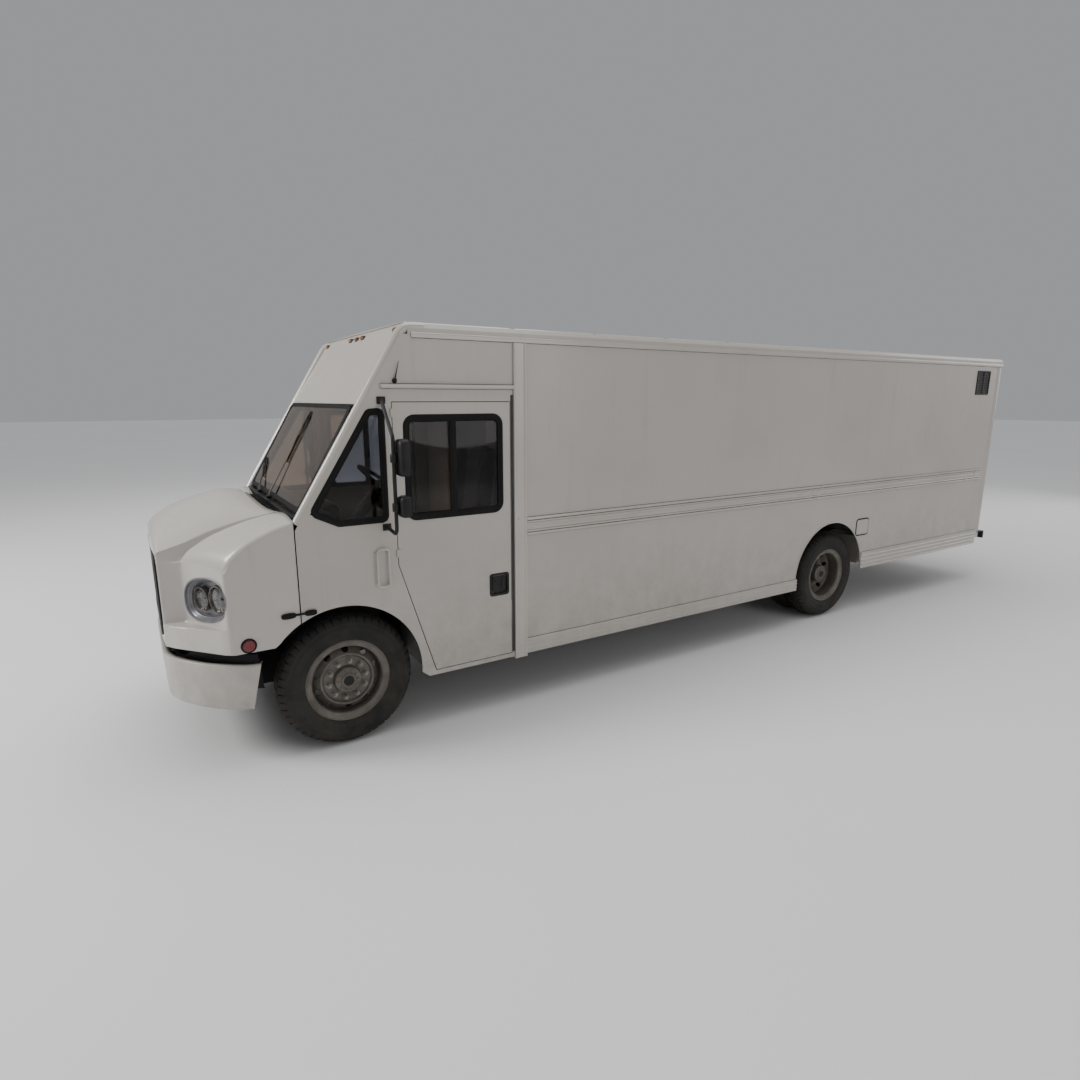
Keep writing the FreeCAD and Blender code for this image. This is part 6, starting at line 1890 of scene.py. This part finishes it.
def make_power_unit():
    """Block, sump and gearbox, with the valve cover and both manifolds."""
    crankcase = Build()
    crankcase.block((-0.215, -4.825, 0.800), (0.215, -4.075, 1.180), 0.020, 3)
    crankcase.block((-0.165, -4.810, 1.170), (0.165, -4.090, 1.288), 0.012, 3)
    crankcase.block((-0.200, -4.800, 0.765), (0.200, -4.090, 0.806), 0.006, 2)
    crankcase.block((-0.165, -4.775, 0.562), (0.165, -4.305, 0.772), 0.030, 4)
    for side in (-1, 1):
        for k in range(7):
            y = -4.770 + 0.105 * k
            crankcase.block((side * 0.228 - 0.018, y - 0.008, 0.820),
                            (side * 0.228 + 0.018, y + 0.008, 1.160), 0.005, 2)
        for z in (0.90, 1.05):
            crankcase.block((side * 0.224 - 0.012, -4.800, z - 0.010),
                            (side * 0.224 + 0.012, -4.100, z + 0.010), 0.004, 2)
        for k in range(11):
            crankcase.nut((side * 0.190, -4.780 + 0.066 * k, 0.766), (0, 0, -1), 0.009, 0.008)
    crankcase.lathe([(0.0, 0.0004), (0.0, 0.163), (0.040, 0.163), (0.055, 0.152), (0.150, 0.132),
                     (0.290, 0.128), (0.300, 0.140), (0.322, 0.140), (0.332, 0.126),
                     (0.560, 0.112), (0.600, 0.090), (0.695, 0.078), (0.695, 0.0004)],
                    (0, -4.060, 0.780), (0, 1, 0), 48)
    crankcase.make("engine_block", cast_iron, "truck_body", "cast_iron", ["engine"], smooth=35)

    cover = Build()
    cover.block((-0.118, -4.795, 1.284), (0.118, -4.105, 1.352), 0.022, 4)
    for k in range(9):
        y = -4.740 + 0.062 * k
        cover.block((-0.092, y - 0.006, 1.346), (0.092, y + 0.006, 1.362), 0.004, 2)
    for side in (-1, 1):
        for k in range(7):
            cover.nut((side * 0.128, -4.760 + 0.105 * k, 1.287), (0, 0, 1), 0.010, 0.012)
    cover.lathe([(0.0, 0.036), (0.014, 0.036), (0.019, 0.032), (0.019, 0.012), (0.027, 0.010),
                 (0.027, 0.0004)], (0, -4.160, 1.350), (0, 0, 1), 24)
    cover.make("valve_cover", dark_metal, "truck_body", "dark_metal", smooth=35)

    manifolds = Build()
    for side, radius in ((-1, 0.034), (1, 0.027)):
        manifolds.tube([(side * 0.205, y, 1.205) for y in (-4.760, -4.450, -4.140)], radius, 20)
        for k in range(6):
            y = -4.735 + 0.114 * k
            manifolds.tube(rounded_path([(side * 0.205, y, 1.205), (side * 0.194, y, 1.238),
                                         (side * 0.150, y, 1.246)], 5), 0.019, 14)
            manifolds.block((side * 0.168 - 0.004, y - 0.030, 1.216),
                            (side * 0.168 + 0.004, y + 0.030, 1.276), 0.003, 2)
    manifolds.make("manifolds", cast_iron, "truck_body", "cast_iron", smooth=50)


def make_cooling():
    """Fan, shroud, belt, pulley, radiator and its upper hose."""
    middle = Vector((0, -4.870, FAN_Z))
    fan = Build()
    fan.lathe([(-0.024, 0.0004), (-0.024, 0.040), (-0.018, 0.060), (0.020, 0.062),
               (0.026, 0.050), (0.040, 0.046)], middle, (0, 1, 0), 32)
    for k in range(8):
        place = (Matrix.Translation(middle) @ Matrix.Rotation(2 * math.pi * k / 8, 4, "Y")
                 @ Matrix.Translation((0.146, 0, 0)) @ Matrix.Rotation(0.5, 4, "X"))
        fan.block((-0.090, -0.0016, -0.036), (0.090, 0.0016, 0.036), 0.0012, 2, place)
    fan.make("cooling_fan", black_plastic, "truck_body", "black_plastic", smooth=40)
    shroud = Build()
    shroud.lathe([(-0.028, 0.244), (0.022, 0.244), (0.026, 0.2475), (0.022, 0.250),
                  (-0.028, 0.250)], middle, (0, 1, 0), 64, close=True)
    shroud.make("fan_shroud", black_plastic, "truck_body", "black_plastic", smooth=50)

    belt = Build()
    path = [Vector((0.090 * math.cos(a), PULLEY_Y, CRANK_Z + 0.090 * math.sin(a)))
            for a in np.linspace(math.pi, 2 * math.pi, 16)]
    path += [Vector((0.050 * math.cos(a), PULLEY_Y, FAN_Z + 0.050 * math.sin(a)))
             for a in np.linspace(0, math.pi, 12)]
    belt.sweep(path, [(-0.007, -0.002), (-0.004, 0.003), (0.004, 0.003), (0.007, -0.002)],
               (0, 1, 0), True)
    belt.make("drive_belt", black_rubber, "truck_body", "black_rubber", smooth=40)
    pulley = Build()
    pulley.lathe([(-0.020, 0.0004), (-0.020, 0.030), (-0.010, 0.034), (-0.010, 0.092),
                  (-0.006, 0.092), (0.0, 0.084), (0.006, 0.092), (0.012, 0.092), (0.014, 0.0004)],
                 (0, PULLEY_Y, CRANK_Z), (0, 1, 0), 40)
    pulley.make("crank_pulley", wheel_steel, "truck_body", "wheel_steel", smooth=35)

    radiator = Build()
    for low, high in ((0.942, 0.995), (1.425, 1.476)):
        radiator.block((-0.396, -5.026, low), (0.396, -4.954, high), 0.014, 3)
    for side in (-1, 1):
        radiator.block((side * 0.386 - 0.012, -5.022, 0.985), (side * 0.386 + 0.012, -4.958, 1.435),
                       0.004, 2)
    for k in range(24):
        x = -0.361 + 0.0314 * k
        radiator.block((x - 0.002, -5.014, 0.990), (x + 0.002, -4.966, 1.430), 0.0008, 1)
    for k in range(30):
        z = 1.002 + 0.0142 * k
        radiator.block((-0.378, -5.010, z - 0.0006), (0.378, -4.970, z + 0.0006), 0.0002, 1)
    radiator.lathe([(0.0, 0.022), (0.008, 0.022), (0.010, 0.031), (0.020, 0.031), (0.023, 0.026),
                    (0.023, 0.0004)], (-0.230, -4.990, 1.475), (0, 0, 1), 24)
    radiator.make("radiator", dark_metal, "truck_body", "dark_metal", smooth=30)
    hose = Build()
    route = rounded_path([(0.200, -4.950, 1.450), (0.200, -4.905, 1.450), (0.192, -4.845, 1.428),
                          (0.165, -4.795, 1.370), (0.148, -4.780, 1.310), (0.146, -4.778, 1.270)])
    hose.tube(route, 0.022, 18)
    for at in (1, -6):
        along = (route[at + 1] - route[at]).normalized()
        hose.band(route[at], along, 0.006, 0.0215, 0.0245)
    hose.make("radiator_hose", black_rubber, "truck_body", "black_rubber", smooth=60)


def make_exhaust():
    pipe = Build()
    pipe.tube([(EXHAUST_X, y, EXHAUST_Z) for y in (-3.450, -2.880)], 0.036, 24)
    pipe.tube([(EXHAUST_X, y, EXHAUST_Z) for y in (-2.020, -1.100, -0.250)], 0.036, 24)
    for y in (-3.430, -2.940, -1.960, -0.300):
        pipe.band((EXHAUST_X, y, EXHAUST_Z), (0, 1, 0), 0.012, 0.0355, 0.0378)
    pipe.lathe([(0.0, 0.034), (0.006, 0.060), (0.014, 0.095), (0.020, 0.109), (0.028, 0.1095),
                (0.032, 0.106), (0.300, 0.106), (0.304, 0.1085), (0.312, 0.1085), (0.316, 0.106),
                (0.580, 0.106), (0.584, 0.1085), (0.592, 0.1085), (0.596, 0.106), (0.866, 0.106),
                (0.870, 0.1095), (0.878, 0.109), (0.884, 0.095), (0.892, 0.060), (0.898, 0.034)],
               (EXHAUST_X, -2.899, EXHAUST_Z), (0, 1, 0), 48)
    pipe.make("exhaust_pipe_and_muffler", frame_steel, "truck_body", "frame_steel", smooth=40)


make_power_unit()
make_cooling()
make_exhaust()


# ------------------------------------------------------------------ camera, floor and light
camera = bpy.data.objects.new("camera", bpy.data.cameras.new("camera"))
bpy.context.scene.collection.objects.link(camera)
azimuth, pitch = math.radians(58.207), math.radians(12.151)
back = Vector((math.sin(azimuth) * math.cos(pitch), -math.cos(azimuth) * math.cos(pitch),
               math.sin(pitch)))
camera.location = (5.7545, -5.3301, 2.6094)
camera.rotation_mode = "QUATERNION"
camera.rotation_quaternion = (-back).to_track_quat("-Z", "Y")
camera.data.sensor_width = 36.0
camera.data.lens = 21.85
camera.data.clip_end = 400.0
bpy.context.scene.camera = camera

floor_mesh = bpy.data.meshes.new("studio_floor")
span = 90.0
floor_mesh.from_pydata([(-span, -span, 0), (span, -span, 0), (span, span, 0), (-span, span, 0)],
                       [], [(0, 1, 2, 3)])
floor = bpy.data.objects.new("studio_floor", floor_mesh)
bpy.context.scene.collection.objects.link(floor)
floor_mesh.materials.append(surface("studio_floor", (0.76, 0.76, 0.765), (0.74, 0.74, 0.745), 0.9,
                                    patch=0.2, grain=30.0, relief=0.0, specular=0.1))

world = bpy.data.worlds.new("studio")
world.use_nodes = True
world.node_tree.nodes["Background"].inputs[0].default_value = (0.62, 0.63, 0.65, 1)
world.node_tree.nodes["Background"].inputs[1].default_value = 0.55
bpy.context.scene.world = world


def area_light(name, place, target, size, watts, colour=(1, 1, 1)):
    light = bpy.data.objects.new(name, bpy.data.lights.new(name, "AREA"))
    light.data.shape = "DISK"
    light.data.size = size
    light.data.energy = watts
    light.data.color = colour
    light.location = place
    light.rotation_mode = "QUATERNION"
    light.rotation_quaternion = (Vector(target) - Vector(place)).to_track_quat("-Z", "Y")
    bpy.context.scene.collection.objects.link(light)


sky = bpy.data.objects.new("sky", bpy.data.lights.new("sky", "SUN"))
sky.data.angle = math.radians(75)
sky.data.energy = 0.7
sky.location = (0, 0, 20)
bpy.context.scene.collection.objects.link(sky)
area_light("key", (-3.0, -15.0, 9.0), (0, -4.0, 1.3), 5.0, 1500, (1.0, 0.985, 0.96))
area_light("overhead", (0.0, 0.0, 12.0), (0, 0, 0), 9.0, 500)
area_light("side_fill", (14.0, 3.0, 5.0), (0, 0, 1.2), 8.0, 260, (1.0, 0.97, 0.94))
area_light("far_fill", (-14.0, 4.0, 6.0), (0, 0, 1.2), 8.0, 260, (1.0, 0.97, 0.94))
area_light("rear_fill", (2.0, 15.0, 6.0), (0, 0, 1.2), 8.0, 320, (1.0, 0.98, 0.96))


bpy.context.view_layer.update()
